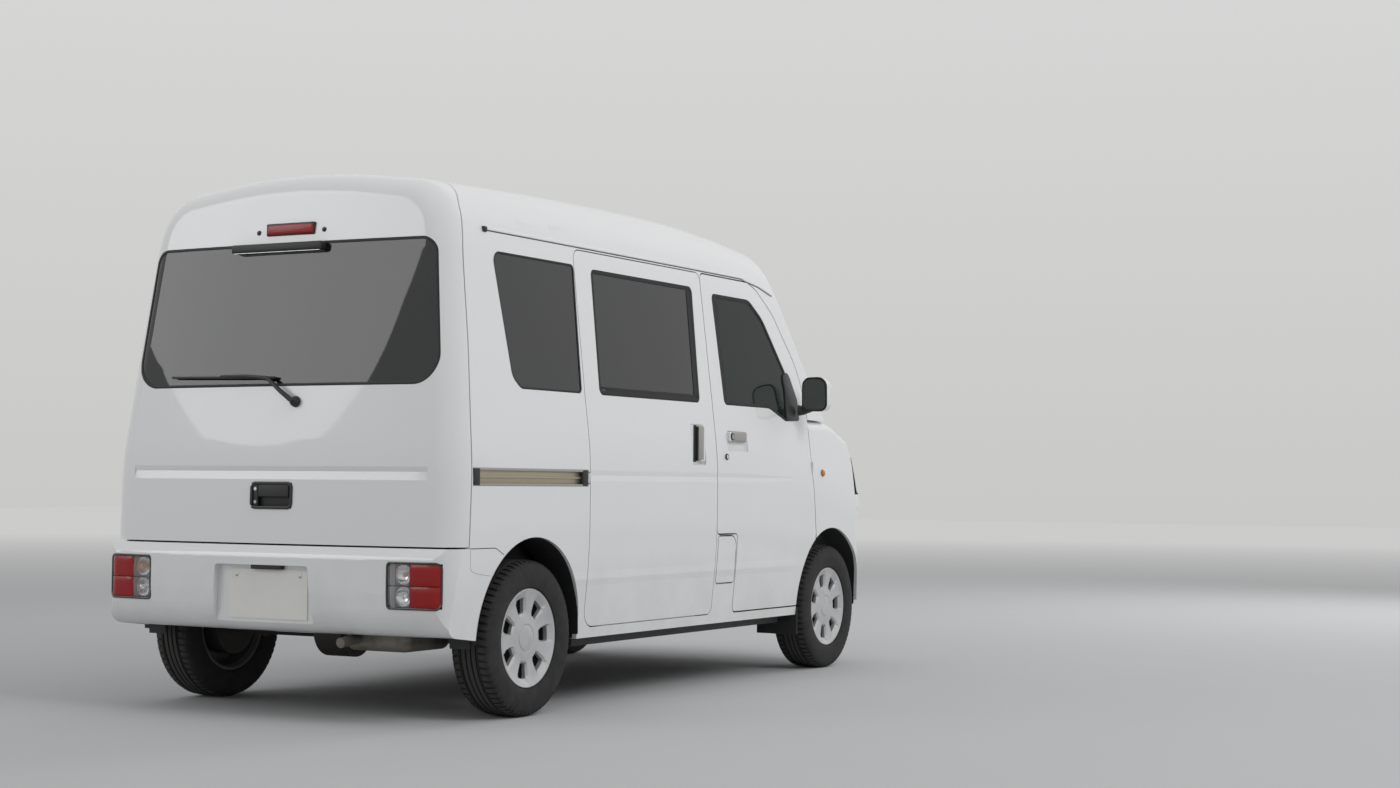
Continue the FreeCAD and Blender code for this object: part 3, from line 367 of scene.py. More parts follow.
def evenly(points, spacing, closed=True):
    """The outline's own corners, with points added so that no run is longer than spacing."""
    result = []
    count = len(points)
    for i in range(count if closed else count - 1):
        a, b = Vector(points[i]), Vector(points[(i + 1) % count])
        pieces = max(1, math.ceil((b - a).length / spacing))
        result += [tuple(a.lerp(b, k / pieces)) for k in range(pieces)]
    return result if closed else result + [tuple(points[-1])]


def grown(points, distance):
    """A closed outline moved outwards by distance."""
    vectors = [Vector(p) for p in points]
    count = len(vectors)
    area = sum(vectors[i].x * vectors[(i + 1) % count].y - vectors[(i + 1) % count].x * vectors[i].y
               for i in range(count))
    side = 1 if area > 0 else -1
    result = []
    for i in range(count):
        ahead, behind = vectors[(i + 1) % count] - vectors[i], vectors[i] - vectors[i - 1]
        normal = Vector((ahead.y, -ahead.x)).normalized() + Vector((behind.y, -behind.x)).normalized()
        normal.normalize()
        stretch = max(0.5, normal.dot(Vector((ahead.y, -ahead.x)).normalized()))
        result.append(tuple(vectors[i] + normal * (distance * side / stretch)))
    return result


class Skin:
    """The outer surface of some nodes, found by looking straight at it from outside."""

    def __init__(self, *nodes):
        points, faces = [], []
        for node in nodes:
            start = len(points)
            mesh = NODES[node].data
            points += [v.co.copy() for v in mesh.vertices]
            faces += [[start + i for i in p.vertices] for p in mesh.polygons]
        self.tree = BVHTree.FromPolygons(points, faces)

    def hit(self, origin, direction):
        """The place met from origin, or just beside it, level with the nearest surface."""
        origin, direction = Vector(origin), Vector(direction)
        place, normal, _, _ = self.tree.ray_cast(origin, direction)
        if place is None:
            near, normal, _, _ = self.tree.find_nearest(origin + direction * 0.55)
            place = origin + direction * (near - origin).dot(direction)
            normal = -direction
        return place, normal

    def side(self, y, z, s):
        return self.hit((1.2 * s, y, z), (-s, 0, 0))

    def back(self, x, z):
        return self.hit((x, 2.2, z), (0, -1, 0))

    def front(self, x, z):
        return self.hit((x, -2.2, z), (0, 1, 0))


def strip(name, path, width, height, look, body, closed=True, sink=0.002, crown=0.3):
    """A band laid along places on a surface, given as (point, normal) pairs."""
    points, faces = [], []
    profile = ((-0.5, -sink), (-0.5, height * (1 - crown)), (-0.32, height), (0.32, height),
               (0.5, height * (1 - crown)), (0.5, -sink))
    count = len(path)
    for i, (place, normal) in enumerate(path):
        ahead = path[(i + 1) % count if closed else min(i + 1, count - 1)][0]
        behind = path[i - 1 if closed else max(i - 1, 0)][0]
        side = (ahead - behind).normalized().cross(normal).normalized()
        for a, b in profile:
            points.append(place + side * (a * width) + normal * b)
    step = len(profile)
    for i in range(count if closed else count - 1):
        j = (i + 1) % count
        faces += [[i * step + k, i * step + (k + 1) % step, j * step + (k + 1) % step, j * step + k]
                  for k in range(step)]
    if not closed:
        faces += [list(range(step)), [(count - 1) * step + k for k in range(step)][::-1]]
    return solid(name, points, faces, look, body, angle=40)


def tube(name, points, radius, look, body, sides=12, closed=False, radii=None):
    """A round bar through points."""
    points = [Vector(p) for p in points]
    count = len(points)
    verts, faces = [], []
    up = None
    for i, point in enumerate(points):
        ahead = points[(i + 1) % count if closed else min(i + 1, count - 1)]
        behind = points[i - 1 if closed else max(i - 1, 0)]
        along = (ahead - behind).normalized()
        if up is None:
            up = along.orthogonal().normalized()
        up = (up - along * up.dot(along)).normalized()
        side = along.cross(up)
        r = radii[i] if radii else radius
        verts += [point + (up * math.cos(t) + side * math.sin(t)) * r
                  for t in (2 * math.pi * k / sides for k in range(sides))]
    for i in range(count if closed else count - 1):
        j = (i + 1) % count
        faces += [[i * sides + k, i * sides + (k + 1) % sides, j * sides + (k + 1) % sides, j * sides + k]
                  for k in range(sides)]
    if not closed:
        faces += [list(range(sides))[::-1], [(count - 1) * sides + k for k in range(sides)]]
    return solid(name, verts, faces, look, body, angle=50)


def block(name, low, high, look, body, bevel=0.003, segments=3):
    """A box with eased edges."""
    (x0, y0, z0), (x1, y1, z1) = low, high
    points = [(x, y, z) for x in (x0, x1) for y in (y0, y1) for z in (z0, z1)]
    faces = [[0, 1, 3, 2], [4, 6, 7, 5], [0, 4, 5, 1], [2, 3, 7, 6], [0, 2, 6, 4], [1, 5, 7, 3]]
    return solid(name, points, faces, look, body, bevel=bevel, segments=segments)


def lathe(name, profile, centre, axis, look, body, steps=64, angle=35.0):
    """A profile of (along, radius) turned about an axis."""
    axis = Vector(axis).normalized()
    u = axis.orthogonal().normalized()
    v = axis.cross(u)
    centre = Vector(centre)
    count = len(profile)
    points = [centre + axis * a + (u * math.cos(t) + v * math.sin(t)) * r
              for t in (2 * math.pi * k / steps for k in range(steps)) for a, r in profile]
    faces = [[k * count + i, k * count + i + 1, (k + 1) % steps * count + i + 1, (k + 1) % steps * count + i]
             for k in range(steps) for i in range(count - 1)]
    return solid(name, points, faces, look, body, angle=angle)


def joined(name, parts, look, body):
    """Several pieces made one."""
    bm = bmesh.new()
    for part in parts:
        bm.from_mesh(part.data)
    mesh = bpy.data.meshes.new(name)
    bm.to_mesh(mesh)
    bm.free()
    for part in parts:
        bpy.data.objects.remove(part)
    return settle(linked(name, mesh), look, body)


def stand_for(node, pieces):
    """Makes pieces take the place of a node of the frame."""
    for piece in pieces:
        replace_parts(piece, node)


def even_steps_tree():
    """Geometry nodes that repeat a mesh, each copy moved and turned on from the last."""
    tree = bpy.data.node_groups.new("even_steps", "GeometryNodeTree")
    for name, kind in (("Geometry", "Geometry"), ("Count", "Int"), ("Step", "Vector"), ("Turn", "Vector"),
                       ("Centre", "Vector"), ("Finish", "Material")):
        tree.interface.new_socket(name, in_out="INPUT", socket_type="NodeSocket" + kind)
    tree.interface.new_socket("Geometry", in_out="OUTPUT", socket_type="NodeSocketGeometry")

    def node(kind, settings=None, **inputs):
        made = tree.nodes.new(kind)
        for key, value in (settings or {}).items():
            setattr(made, key, value)
        for key, value in inputs.items():
            tree.links.new(value, made.inputs[int(key[1:]) if key[0] == "_" else key])
        return made

    given = node("NodeGroupInput").outputs
    index = node("GeometryNodeInputIndex").outputs[0]
    move = node("ShaderNodeVectorMath", {"operation": "SCALE"}, Vector=given["Step"], Scale=index).outputs[0]
    turn = node("ShaderNodeVectorMath", {"operation": "SCALE"}, Vector=given["Turn"], Scale=index).outputs[0]
    points = node("GeometryNodePoints", Count=given["Count"], Position=move).outputs[0]
    copies = node("GeometryNodeInstanceOnPoints", Points=points, Instance=given["Geometry"], Rotation=turn)
    placed = node("GeometryNodeTransform", Geometry=copies.outputs[0], Translation=given["Centre"]).outputs[0]
    real = node("GeometryNodeRealizeInstances", Geometry=placed).outputs[0]
    dressed = node("GeometryNodeSetMaterial", Geometry=real, Material=given["Finish"]).outputs[0]
    tree.links.new(dressed, node("NodeGroupOutput").inputs[0])
    return tree


def repeated(name, unit, count, look, body, step=(0, 0, 0), turn=(0, 0, 0), centre=(0, 0, 0)):
    """A unit of points and faces repeated in even steps and made one plain mesh."""
    tree = bpy.data.node_groups.get("even_steps") or even_steps_tree()
    mesh = bpy.data.meshes.new(name)
    mesh.from_pydata([Vector(p) for p in unit[0]], [], unit[1])
    bm = bmesh.new()
    bm.from_mesh(mesh)
    bmesh.ops.recalc_face_normals(bm, faces=bm.faces)
    bm.to_mesh(mesh)
    bm.free()
    piece = linked(name, mesh)
    modifier = piece.modifiers.new("even_steps", "NODES")
    modifier.node_group = tree
    values = dict(Count=count, Step=step, Turn=turn, Centre=centre, Finish=LOOKS[look])
    for socket in tree.interface.items_tree:
        if socket.in_out == "INPUT" and socket.name in values:
            modifier[socket.identifier] = values[socket.name]
    baked(piece)
    shaded(piece.data, 30.0)
    return settle(piece, look, body)


# Panels, glass and the solids that keep their shape

CARRIED = dict(
    paint=("body_side_left", "body_side_right", "windscreen_frame", "roof_panel", "sliding_door_left",
           "sliding_door_right", "front_door_left", "front_door_right", "tailgate", "fuel_lid", "hood",
           "nose_panel", "fender_left", "fender_right", "rear_bumper", "front_bumper"),
    dark_glass=("side_glass", "tailgate_glass"),
    clear_glass=("door_glass_left", "door_glass_right", "windscreen"),
    black=("cowl", "grille", "mud_flaps", "rear_wiper"),
    cabin_light=("door_pillars",),
    cabin=("dashboard",),
    chassis=("chassis_frame", "fuel_tank", "floor_pan"),
    casting=("engine_block", "rear_axle", "prop_shaft", "knuckle_left", "knuckle_right",
             "front_suspension"),
    exhaust=("exhaust",),
    rail=("slide_rails",),
    plate=("rear_plate",),
    clear=("headlamps",),
    red=("tail_lamps",),
    gloss=("steering_wheel",),
    cloth=("front_seats", "rear_seat"),
)


# Wheels

TREAD_ROWS = 66
# blocks of the shoulder and of the sidewall's edge: rows of across, low and high radius, then the part
# of a step around that they fill, and how much they lean
TREAD_BLOCKS = (
    (((0.0385, 0.2600, 0.2656), (0.0560, 0.2588, 0.2646), (0.0668, 0.2555, 0.2603), (0.0702, 0.2520, 0.2566)),
     (0.09, 0.75), 6.0),
    (((0.0702, 0.2525, 0.2566), (0.0732, 0.2462, 0.2500), (0.0755, 0.2380, 0.2404)), (0.16, 0.68), 0.0))
TYRE_SECTION = ((-0.0655, 0.170), (-0.0715, 0.1735), (-0.0755, 0.186), (-0.0772, 0.205), (-0.0775, 0.220),
                (-0.0762, 0.236), (-0.0738, 0.2465), (-0.0705, 0.2530), (-0.0665, 0.2568), (-0.0600, 0.2590),
                (-0.0450, 0.2606), (-0.0352, 0.2608), (-0.0346, 0.2655))


def tyre(name, x, y, body):
    """A tyre's carcass, with four grooves round its tread."""
    half = list(TYRE_SECTION)
    for centre in (-0.030, -0.010):
        half += [(centre - 0.0035, 0.2658), (centre - 0.0025, 0.2595), (centre + 0.0025, 0.2595),
                 (centre + 0.0035, 0.2658)]
    profile = half + [(-a, r) for a, r in reversed(half)]
    profile += [(0.060, 0.168), (-0.060, 0.168), half[0]]
    return lathe(name, profile, (x, y, HUB_Z), (1, 0, 0), "tyre", body, steps=96, angle=42)


def tread_row():
    """One row of tread about the X axis: a shoulder block on each side and the rib below it."""
    points, faces = [], []
    for s in (-1, 1):
        lead = 0.4 if s > 0 else 0.0
        for section, gap, slant in TREAD_BLOCKS:
            start = len(points)
            for across, low, high in section:
                for around in gap:
                    t = 2 * math.pi * (around + lead + slant * (across - 0.0385)) / TREAD_ROWS
                    for r in (low, high):
                        points.append((s * across, math.sin(t) * r, math.cos(t) * r))
            for k in range(len(section) - 1):
                a = start + 4 * k
                faces += [[a, a + 1, a + 5, a + 4], [a + 2, a + 6, a + 7, a + 3],
                          [a + 1, a + 3, a + 7, a + 5], [a, a + 4, a + 6, a + 2]]
            end = start + 4 * (len(section) - 1)
            faces += [[start, start + 2, start + 3, start + 1], [end, end + 1, end + 3, end + 2]]
    return points, faces


# The cover's face as radius and distance out from the wheel's middle, and its windows
COVER_FACE = ((0.0, 0.0600), (0.020, 0.0602), (0.0405, 0.0598), (0.0430, 0.0592), (0.0440, 0.0572),
              (0.0462, 0.0572), (0.0475, 0.0590), (0.055, 0.0588), (0.065, 0.0580), (0.0745, 0.0574),
              (0.0800, 0.0572), (0.0862, 0.0572), (0.0870, 0.0572), (0.0888, 0.0573), (0.0920, 0.0574),
              (0.100, 0.0577), (0.112, 0.0584), (0.124, 0.0594), (0.1335, 0.0604), (0.1365, 0.0608),
              (0.1378, 0.0610), (0.1386, 0.0611), (0.144, 0.0620), (0.150, 0.0634), (0.1555, 0.0650),
              (0.1600, 0.0664), (0.1635, 0.0676), (0.1660, 0.0682), (0.1676, 0.0676), (0.1684, 0.0660),
              (0.1686, 0.0630))
WINDOW_INNER, WINDOW_OUTER = 0.0866, 0.1382
FLARE_INNER, FLARE_OUTER = 0.0795, 0.1602
WINDOW_HALF, FLARE_SIDE, WINDOW_DEPTH, FLARE_DEPTH = 0.205, 0.055, 0.0225, 0.0075
COVER_TURN = math.radians(9)
COVER_SPOKES = 7


def cover_depth(r, off, half):
    """How far the cover lies below its face, at a radius and an angle from a window's middle."""
    if WINDOW_INNER < r < WINDOW_OUTER and abs(off) < half - 0.001:
        return WINDOW_DEPTH
    out = max((abs(off) - half) / FLARE_SIDE,
              (r - WINDOW_OUTER) / (FLARE_OUTER - WINDOW_OUTER),
              (WINDOW_INNER - r) / (WINDOW_INNER - FLARE_INNER))
    return FLARE_DEPTH * max(0.0, 1.0 - max(0.0, out))


def wheel_cover(name, x, y, s, body):
    """The silver cover: seven spokes, seven flared windows and a round middle."""
    pitch = 2 * math.pi / COVER_SPOKES
    rows = []
    for r, a in COVER_FACE:
        # the window's corners are round, so its sides draw in at both ends
        draw = min(1.0, max(0.0, min(r - WINDOW_INNER, WINDOW_OUTER - r)) / 0.007)
        half = WINDOW_HALF * (0.80 + 0.20 * (1 - (1 - draw) ** 2) ** 0.5)
        offs = [0.0, half * 0.5, half - 0.008, half, half + FLARE_SIDE * 0.35, half + FLARE_SIDE,
                half + FLARE_SIDE * 1.35, 0.36, 0.42]
        offs = [-o for o in offs[:0:-1]] + offs
        row = []
        for k in range(COVER_SPOKES):
            middle = pitch * (k + 0.5) + COVER_TURN
            for off in offs + [pitch / 2]:
                depth = cover_depth(r, off, half)
                t = middle + off
                row.append(Vector((x + s * (a - depth), y + s * math.sin(t) * r, HUB_Z + math.cos(t) * r)))
        rows.append(row)
    count = len(rows[0])
    inner = [Vector((x + s * 0.034, p.y, p.z)) for p in rows[-1]]
    rows.append(inner)
    points = [p for row in rows[1:] for p in row] + [rows[0][0], Vector((x + s * 0.034, y, HUB_Z))]
    last = len(rows) - 2
    faces = []
    for i in range(last):
        faces += [[i * count + k, i * count + (k + 1) % count, (i + 1) * count + (k + 1) % count,
                   (i + 1) * count + k]
                  for k in range(count)]
    for k in range(count):
        faces.append([(k + 1) % count, k, last * count + count])
        faces.append([last * count + k, last * count + (k + 1) % count, last * count + count + 1])
    return solid(name, points, faces, "cover", body, angle=24)


def steel_wheel(name, x, y, s, body):
    """The steel wheel behind the cover, turned as one profile: its well, flanges and disc."""
    profile = [(-0.0655, 0.1695), (-0.0655, 0.1602), (-0.0625, 0.1572), (-0.0560, 0.1558), (-0.0500, 0.1500),
               (-0.0200, 0.1478), (0.0140, 0.1462), (0.0200, 0.1410), (0.0300, 0.1180), (0.0295, 0.0850),
               (0.0220, 0.0640), (0.0220, 0.0200), (0.0330, 0.0200), (0.0330, 0.0640), (0.0325, 0.1480),
               (0.0560, 0.1610), (0.0600, 0.1695)]
    profile = [(s * a, r) for a, r in profile + profile[:1]]
    return lathe(name, profile, (x, y, HUB_Z), (1, 0, 0), "wheel_steel", body, steps=72, angle=30)


class KEIVAN_OT_wheels(bpy.types.Operator):
    """Adds the tyres with their tread, the steel wheels and their covers"""
    bl_idname = "keivan.wheels"
    bl_label = "Wheels"

    def execute(self, context):
        for end, y, half in (("front", FRONT_AXLE_Y, FRONT_HALF_TRACK),
                             ("rear", REAR_AXLE_Y, REAR_HALF_TRACK)):
            for side, s in SIDES:
                body, node = f"wheel_{end}_{side}", f"{end}_{side}"
                x = s * half
                carcass = tyre("carcass_" + node, x, y, body)
                blocks = repeated("blocks_" + node, tread_row(), TREAD_ROWS, "tyre", body,
                                  turn=(-2 * math.pi / TREAD_ROWS, 0, 0), centre=(x, y, HUB_Z))
                rubber = joined(f"tyre_{node}_rubber", [carcass, blocks], "tyre", body)
                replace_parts(rubber, "tyre_" + node)
                cover = wheel_cover("cover_" + node, x, y, s, body)
                steel = steel_wheel("steel_" + node, x, y, s, body)
                # a black disc just over the floors of the cover's windows: painted shade that makes the
                # windows read dark
                shade_disc = lathe("cover_shade_disc_" + node,
                                [(s * 0.0385, 0.082), (s * 0.0385, 0.142), (s * 0.0373, 0.142),
                                 (s * 0.0373, 0.082), (s * 0.0385, 0.082)], (x, y, HUB_Z), (1, 0, 0),
                                "void", body, steps=48)
                stand_for("wheel_" + node, (cover, steel, shade_disc))
        return {"FINISHED"}


class KEIVAN_OT_solids(bpy.types.Operator):
    """Finishes the panels, glass and running gear of the frame"""
    bl_idname = "keivan.solids"
    bl_label = "Panels and Glass"

    def execute(self, context):
        for look, nodes in CARRIED.items():
            for node in nodes:
                mesh = NODES[node].data
                mesh.materials.clear()
                mesh.materials.append(LOOKS[look])
        return {"FINISHED"}


# Glass surrounds

SIDE_WINDOWS = dict(
    front=[(-.252, 1.560, .025), (-.588, 1.560, .09), (-.700, 1.490, .2), (-.905, 1.235, .2),
           (-.905, 1.070, .02), (-.830, 1.062, .06), (-.680, 1.112, .1), (-.270, 1.112, .025)],
    sliding=[(-.090, 1.572, .025), (.680, 1.572, .025), (.700, 1.112, .025), (-.062, 1.112, .025)],
    quarter=[(.795, 1.577, .02), (1.318, 1.577, .04), (1.262, 1.150, .06), (1.215, 1.112, .05),
             (.820, 1.112, .02)],
)
REAR_WINDOW = [(-.653, 1.112, .095), (-.600, 1.604, .06), (.600, 1.604, .06), (.653, 1.112, .095)]
WINDSCREEN = [(-.640, 1.100, .06), (-.520, 1.730, .06), (.520, 1.730, .06), (.640, 1.100, .06)]


def outline_strip(name, outline, inward, view, width, height, body):
    """A seal along a rounded outline, moved inwards by a distance and laid on what the view sees there."""
    points = evenly(rounded(outline, 6), 0.03)
    path = [view(a, b) for a, b in grown(points, -inward)]
    return strip(name, path, width, height, "seal", body)


def arch_liner(name, axle_y, s, depth_to):
    """The black liner just inside an arch, behind the painted lip, down to the sill."""
    radius, top = ARCH_LINER_RADIUS, ARCH_Z
    path = [(-radius, 0.262), (-radius, 0.276)]
    path += [(-radius * math.cos(math.pi * k / 40),
              top + radius * math.sin(math.pi * k / 40)) for k in range(41)]
    path += [(radius, 0.276), (radius, 0.262)]
    skins = Skin(*[n for n in NODES if n.startswith(("body_side", "fender", "front_door", "rear_bumper",
                                                    "front_bumper"))])
    grid = []
    for y, z in path:
        out = Vector((0, y, z - top)).normalized() if z > top else Vector((0, 1 if y > 0 else -1, 0))
        place, _ = skins.side(axle_y + y + out.y * .006, max(z + out.z * .006, .30), s)
        # a ray that falls into a shut line lands too deep, except round the front corner
        reach = (max(abs(place.x), .726) if axle_y + y > -1.40 else abs(place.x)) - .011
        grid.append([(Vector((s * (reach + (depth_to - reach) * k / 4), axle_y + y, z)),
                      -out) for k in range(5)])
    return sheet_over(name, grid, .0012, "seal", "body", angle=50)


def from_side(skin, s):
    """A view that finds (y, z) on a skin, looking from side s."""
    return lambda y, z: skin.side(y, z, s)


class KEIVAN_OT_surrounds(bpy.types.Operator):
    """Adds the surrounds of the glass, the mirrors' corner pieces and the liners of the arches"""
    bl_idname = "keivan.surrounds"
    bl_label = "Glass Surrounds"

    def execute(self, context):
        for side, s in SIDES:
            door = "front_door_" + side
            fixed, moving = from_side(Skin("side_glass"), s), from_side(Skin("door_glass_" + side), s)
            for name, view, body, near, wide in (("quarter", fixed, "body", .004, .007),
                                                 ("sliding", fixed, "body", .008, .016),
                                                 ("front", moving, door, .007, .014)):
                outline_strip(f"{name}_seal_{side}", SIDE_WINDOWS[name], near, view, wide, .0026, body)
            # wider black bars where the photograph shows them, at the front of two windows and below one
            for name, corners, view, body in (
                ("sliding_bar", [(-.083, 1.566), (-.045, 1.566), (-.022, 1.118), (-.056, 1.118)], fixed,
                 "body"),
                ("sliding_foot", [(-.05, 1.142), (.692, 1.142), (.694, 1.118), (-.055, 1.118)], fixed,
                 "body"),
                ("front_bar", [(-.266, 1.553), (-.290, 1.553), (-.300, 1.119), (-.278, 1.119)], moving,
                 door)):
                self.bar(f"{name}_{side}", corners, view, body)
            self.sail(side, from_side(Skin(door, "door_glass_" + side), s))
        from_behind, from_ahead = Skin("tailgate_glass").back, Skin("windscreen").front
        outline_strip("tailgate_seal", REAR_WINDOW, .005, from_behind, .009, .0026, "tailgate")
        outline_strip("windscreen_seal", WINDSCREEN, .008, from_ahead, .016, .0028, "body")
        for side, s in SIDES:
            arch_liner(f"rear_liner_{side}", REAR_AXLE_Y, s, .600)
            arch_liner(f"front_liner_{side}", FRONT_AXLE_Y, s, .620)
            corners = rounded([(1.185, .470, .01), (1.185, .583, .06), (1.330, .560, .08),
                               (1.440, .470, .01)], 4)
            points, faces = prism(corners, lambda a, b: (s * .5562, a, b), lambda a, b: (s * .5590, a, b))
            solid(f"house_panel_{side}", points, faces, "olive", "body")
        return {"FINISHED"}

    @staticmethod
    def bar(name, corners, view, body):
        """A black bar over four corners: upper and lower edge of its outer and inner side."""
        (a0, b0), (a1, b1), (a2, b2), (a3, b3) = corners
        points, faces = [], []
        steps = 12
        for i in range(steps + 1):
            t = i / steps
            if abs(b1 - b0) < abs(a1 - a0) and abs(a1 - a0) > .3:
                ends = ((a0 + (a1 - a0) * t, b0), (a3 + (a2 - a3) * t, b3))
            else:
                ends = ((a0 + (a3 - a0) * t, b0 + (b3 - b0) * t), (a1 + (a2 - a1) * t, b1 + (b2 - b1) * t))
            for a, b in ends:
                place, normal = view(a, b)
                points += [place + normal * .0018, place - normal * .001]
        for i in range(steps):
            for a, b in ((0, 2), (2, 3), (3, 1), (1, 0)):
                faces.append([i * 4 + a, i * 4 + b, i * 4 + 4 + b, i * 4 + 4 + a])
        faces += [[0, 1, 3, 2], [steps * 4 + k for k in (2, 3, 1, 0)]]
        return solid(name, points, faces, "seal", body, angle=50)

    @staticmethod
    def sail(side, view):
        """The black corner piece that carries the mirror."""
        outline = rounded([(-.822, 1.340, .03), (-.905, 1.250, .05), (-.958, 1.155, .04),
                           (-.958, 1.068, .012), (-.838, 1.064, .02), (-.852, 1.19, .05)], 4)
        points = []
        for a, b in outline:
            place, normal = view(a, b)
            points += [place + normal * .006, place - normal * .001]
        count = len(outline)
        faces = [[2 * i for i in range(count)], [2 * i + 1 for i in range(count)][::-1]]
        faces += [[2 * i, 2 * i + 1, (2 * i + 3) % (2 * count),
                   (2 * i + 2) % (2 * count)] for i in range(count)]
        return solid(f"sail_{side}", points, faces, "trim", "front_door_" + side, bevel=.0015)


# Door handles, rails, gutters and side lamps

def shifted(low, high, s):
    """A box's corners on side s."""
    x = sorted((low[0] * s, high[0] * s))
    return (x[0], low[1], low[2]), (x[1], high[1], high[2])


class KEIVAN_OT_side_fittings(bpy.types.Operator):
    """Adds the handles, locks, rails, gutters and side lamps"""
    bl_idname = "keivan.side_fittings"
    bl_label = "Side Fittings"

    def execute(self, context):
        for side, s in SIDES:
            door = "front_door_" + side
            block(f"handle_flap_{side}", *shifted((.716, -.4210, .9640), (.7375, -.2800, 1.0080), s),
                  "silver", door, bevel=.010, segments=4)
            block(f"handle_well_{side}", *shifted((.7165, -.438, .928), (.7205, -.265, 1.007), s), "paint",
                  door, bevel=.001)
            key_place, lock_place = (.7375 * s, -.291, .986), (.7372 * s, -.247, .904)
            lathe(f"key_barrel_{side}", [(0, TIP), (.002, .006), (.0035, .009), (.0032, .0105),
                                         (-.006, .0115), (-.006, TIP)], key_place, (s, 0, 0), "silver",
                  door, steps=32)
            lathe(f"key_ring_{side}", [(.0012, .0100), (.0030, .0105), (.0030, .0125), (.0, .0145),
                                       (-.003, .0145), (-.003, .0100), (.0012, .0100)], key_place,
                  (s, 0, 0), "black", door, steps=32)
            lathe(f"lock_ring_{side}", [(.001, .0088), (.0028, .0092), (.0028, .0108), (.0, .0125),
                                        (-.003, .0125), (-.003, .0088), (.001, .0088)], lock_place,
                  (s, 0, 0), "black", door, steps=32)
            lathe(f"lock_{side}", [(.003, TIP), (.0035, .007), (.002, .0095), (-.004, .0098), (-.004, TIP)],
                  lock_place, (s, 0, 0), "reflector", door, steps=32)
            block(f"slide_handle_{side}", *shifted((.716, -.0540, .8845), (.7385, -.0170, 1.0235), s),
                  "silver", "body", bevel=.010, segments=4)
            # a black block beside the handle bar: painted shade for the dark gap in the handle's recess
            block(f"slide_gap_shade_{side}", *shifted((.7165, -.0165, .880), (.722, .006, 1.024), s), "black",
                  "body", bevel=.002)
            block(f"slide_grip_{side}", *shifted((.7165, -.0175, .884), (.731, -.012, 1.018), s), "black",
                  "body", bevel=.004)
            self.rail(side, s)
            self.gutter(side, s)
            skin = Skin("fender_" + side)
            place, normal = skin.side(-1.157, .847, s)
            lathe(f"repeater_base_{side}", [(-.003, TIP), (-.003, .0165), (.0015, .0155), (.002, TIP)],
                  place, normal, "black", "body", steps=32)
            lathe(f"repeater_{side}", [(.0015, .0145), (.006, .0135), (.0095, .009), (.0105, TIP),
                                       (.0015, TIP)], place,
                  normal, "amber", "body", steps=32)
        return {"FINISHED"}

    @staticmethod
    def rail(side, s):
        """The sliding door's rail: lips, channel and end caps in place of the plain bar."""
        pieces = []
        for low, high, look in (((.7245, .818, .786), (.7262, 1.536, .838), "rail"),
                                ((.7245, .818, .833), (.7385, 1.536, .8415), "silver"),
                                ((.7245, .818, .7825), (.7385, 1.536, .790), "silver"),
                                ((.7245, .818, .808), (.7315, 1.50, .8165), "rail")):
            pieces.append(block(f"rail_{side}_{len(pieces)}", *shifted(low, high, s), look, "body",
                                bevel=.0012))
        for i, (y0, y1) in enumerate(((1.498, 1.537), (.8165, .856))):
            pieces.append(block(f"rail_cap_{side}_{i}", *shifted((.7245, y0, .7825), (.7395, y1, .8415), s),
                                "black", "body", bevel=.004))
        stand_for("slide_rails", pieces)

    @staticmethod
    def gutter(side, s):
        """The moulding along the roof's edge, with a dark groove under it and a cap at its rear end."""
        skin = Skin("roof_panel", "body_side_" + side)
        line = [(1.335 - .02 * i, 1.6485) for i in range(95)] + [(-.57, 1.642), (-.64, 1.634), (-.70, 1.6265),
                                                                (-.76, 1.612), (-.82, 1.598)]
        path = [skin.side(y, z, s) for y, z in line]
        strip(f"gutter_{side}", path, .010, .006, "paint", "body", closed=False, crown=.25)
        groove = [(place - Vector((0, 0, .0062)), normal) for place, normal in path]
        strip(f"gutter_seal_{side}", groove, .003, .0022, "seal", "body", closed=False)
        place, normal = path[0]
        block(f"gutter_cap_{side}", *shifted((abs(place.x) - .004, place.y, place.z - .012),
                                             (abs(place.x) + .008, place.y + .022, place.z + .007), s),
              "black", "body", bevel=.003)


# The back of the van

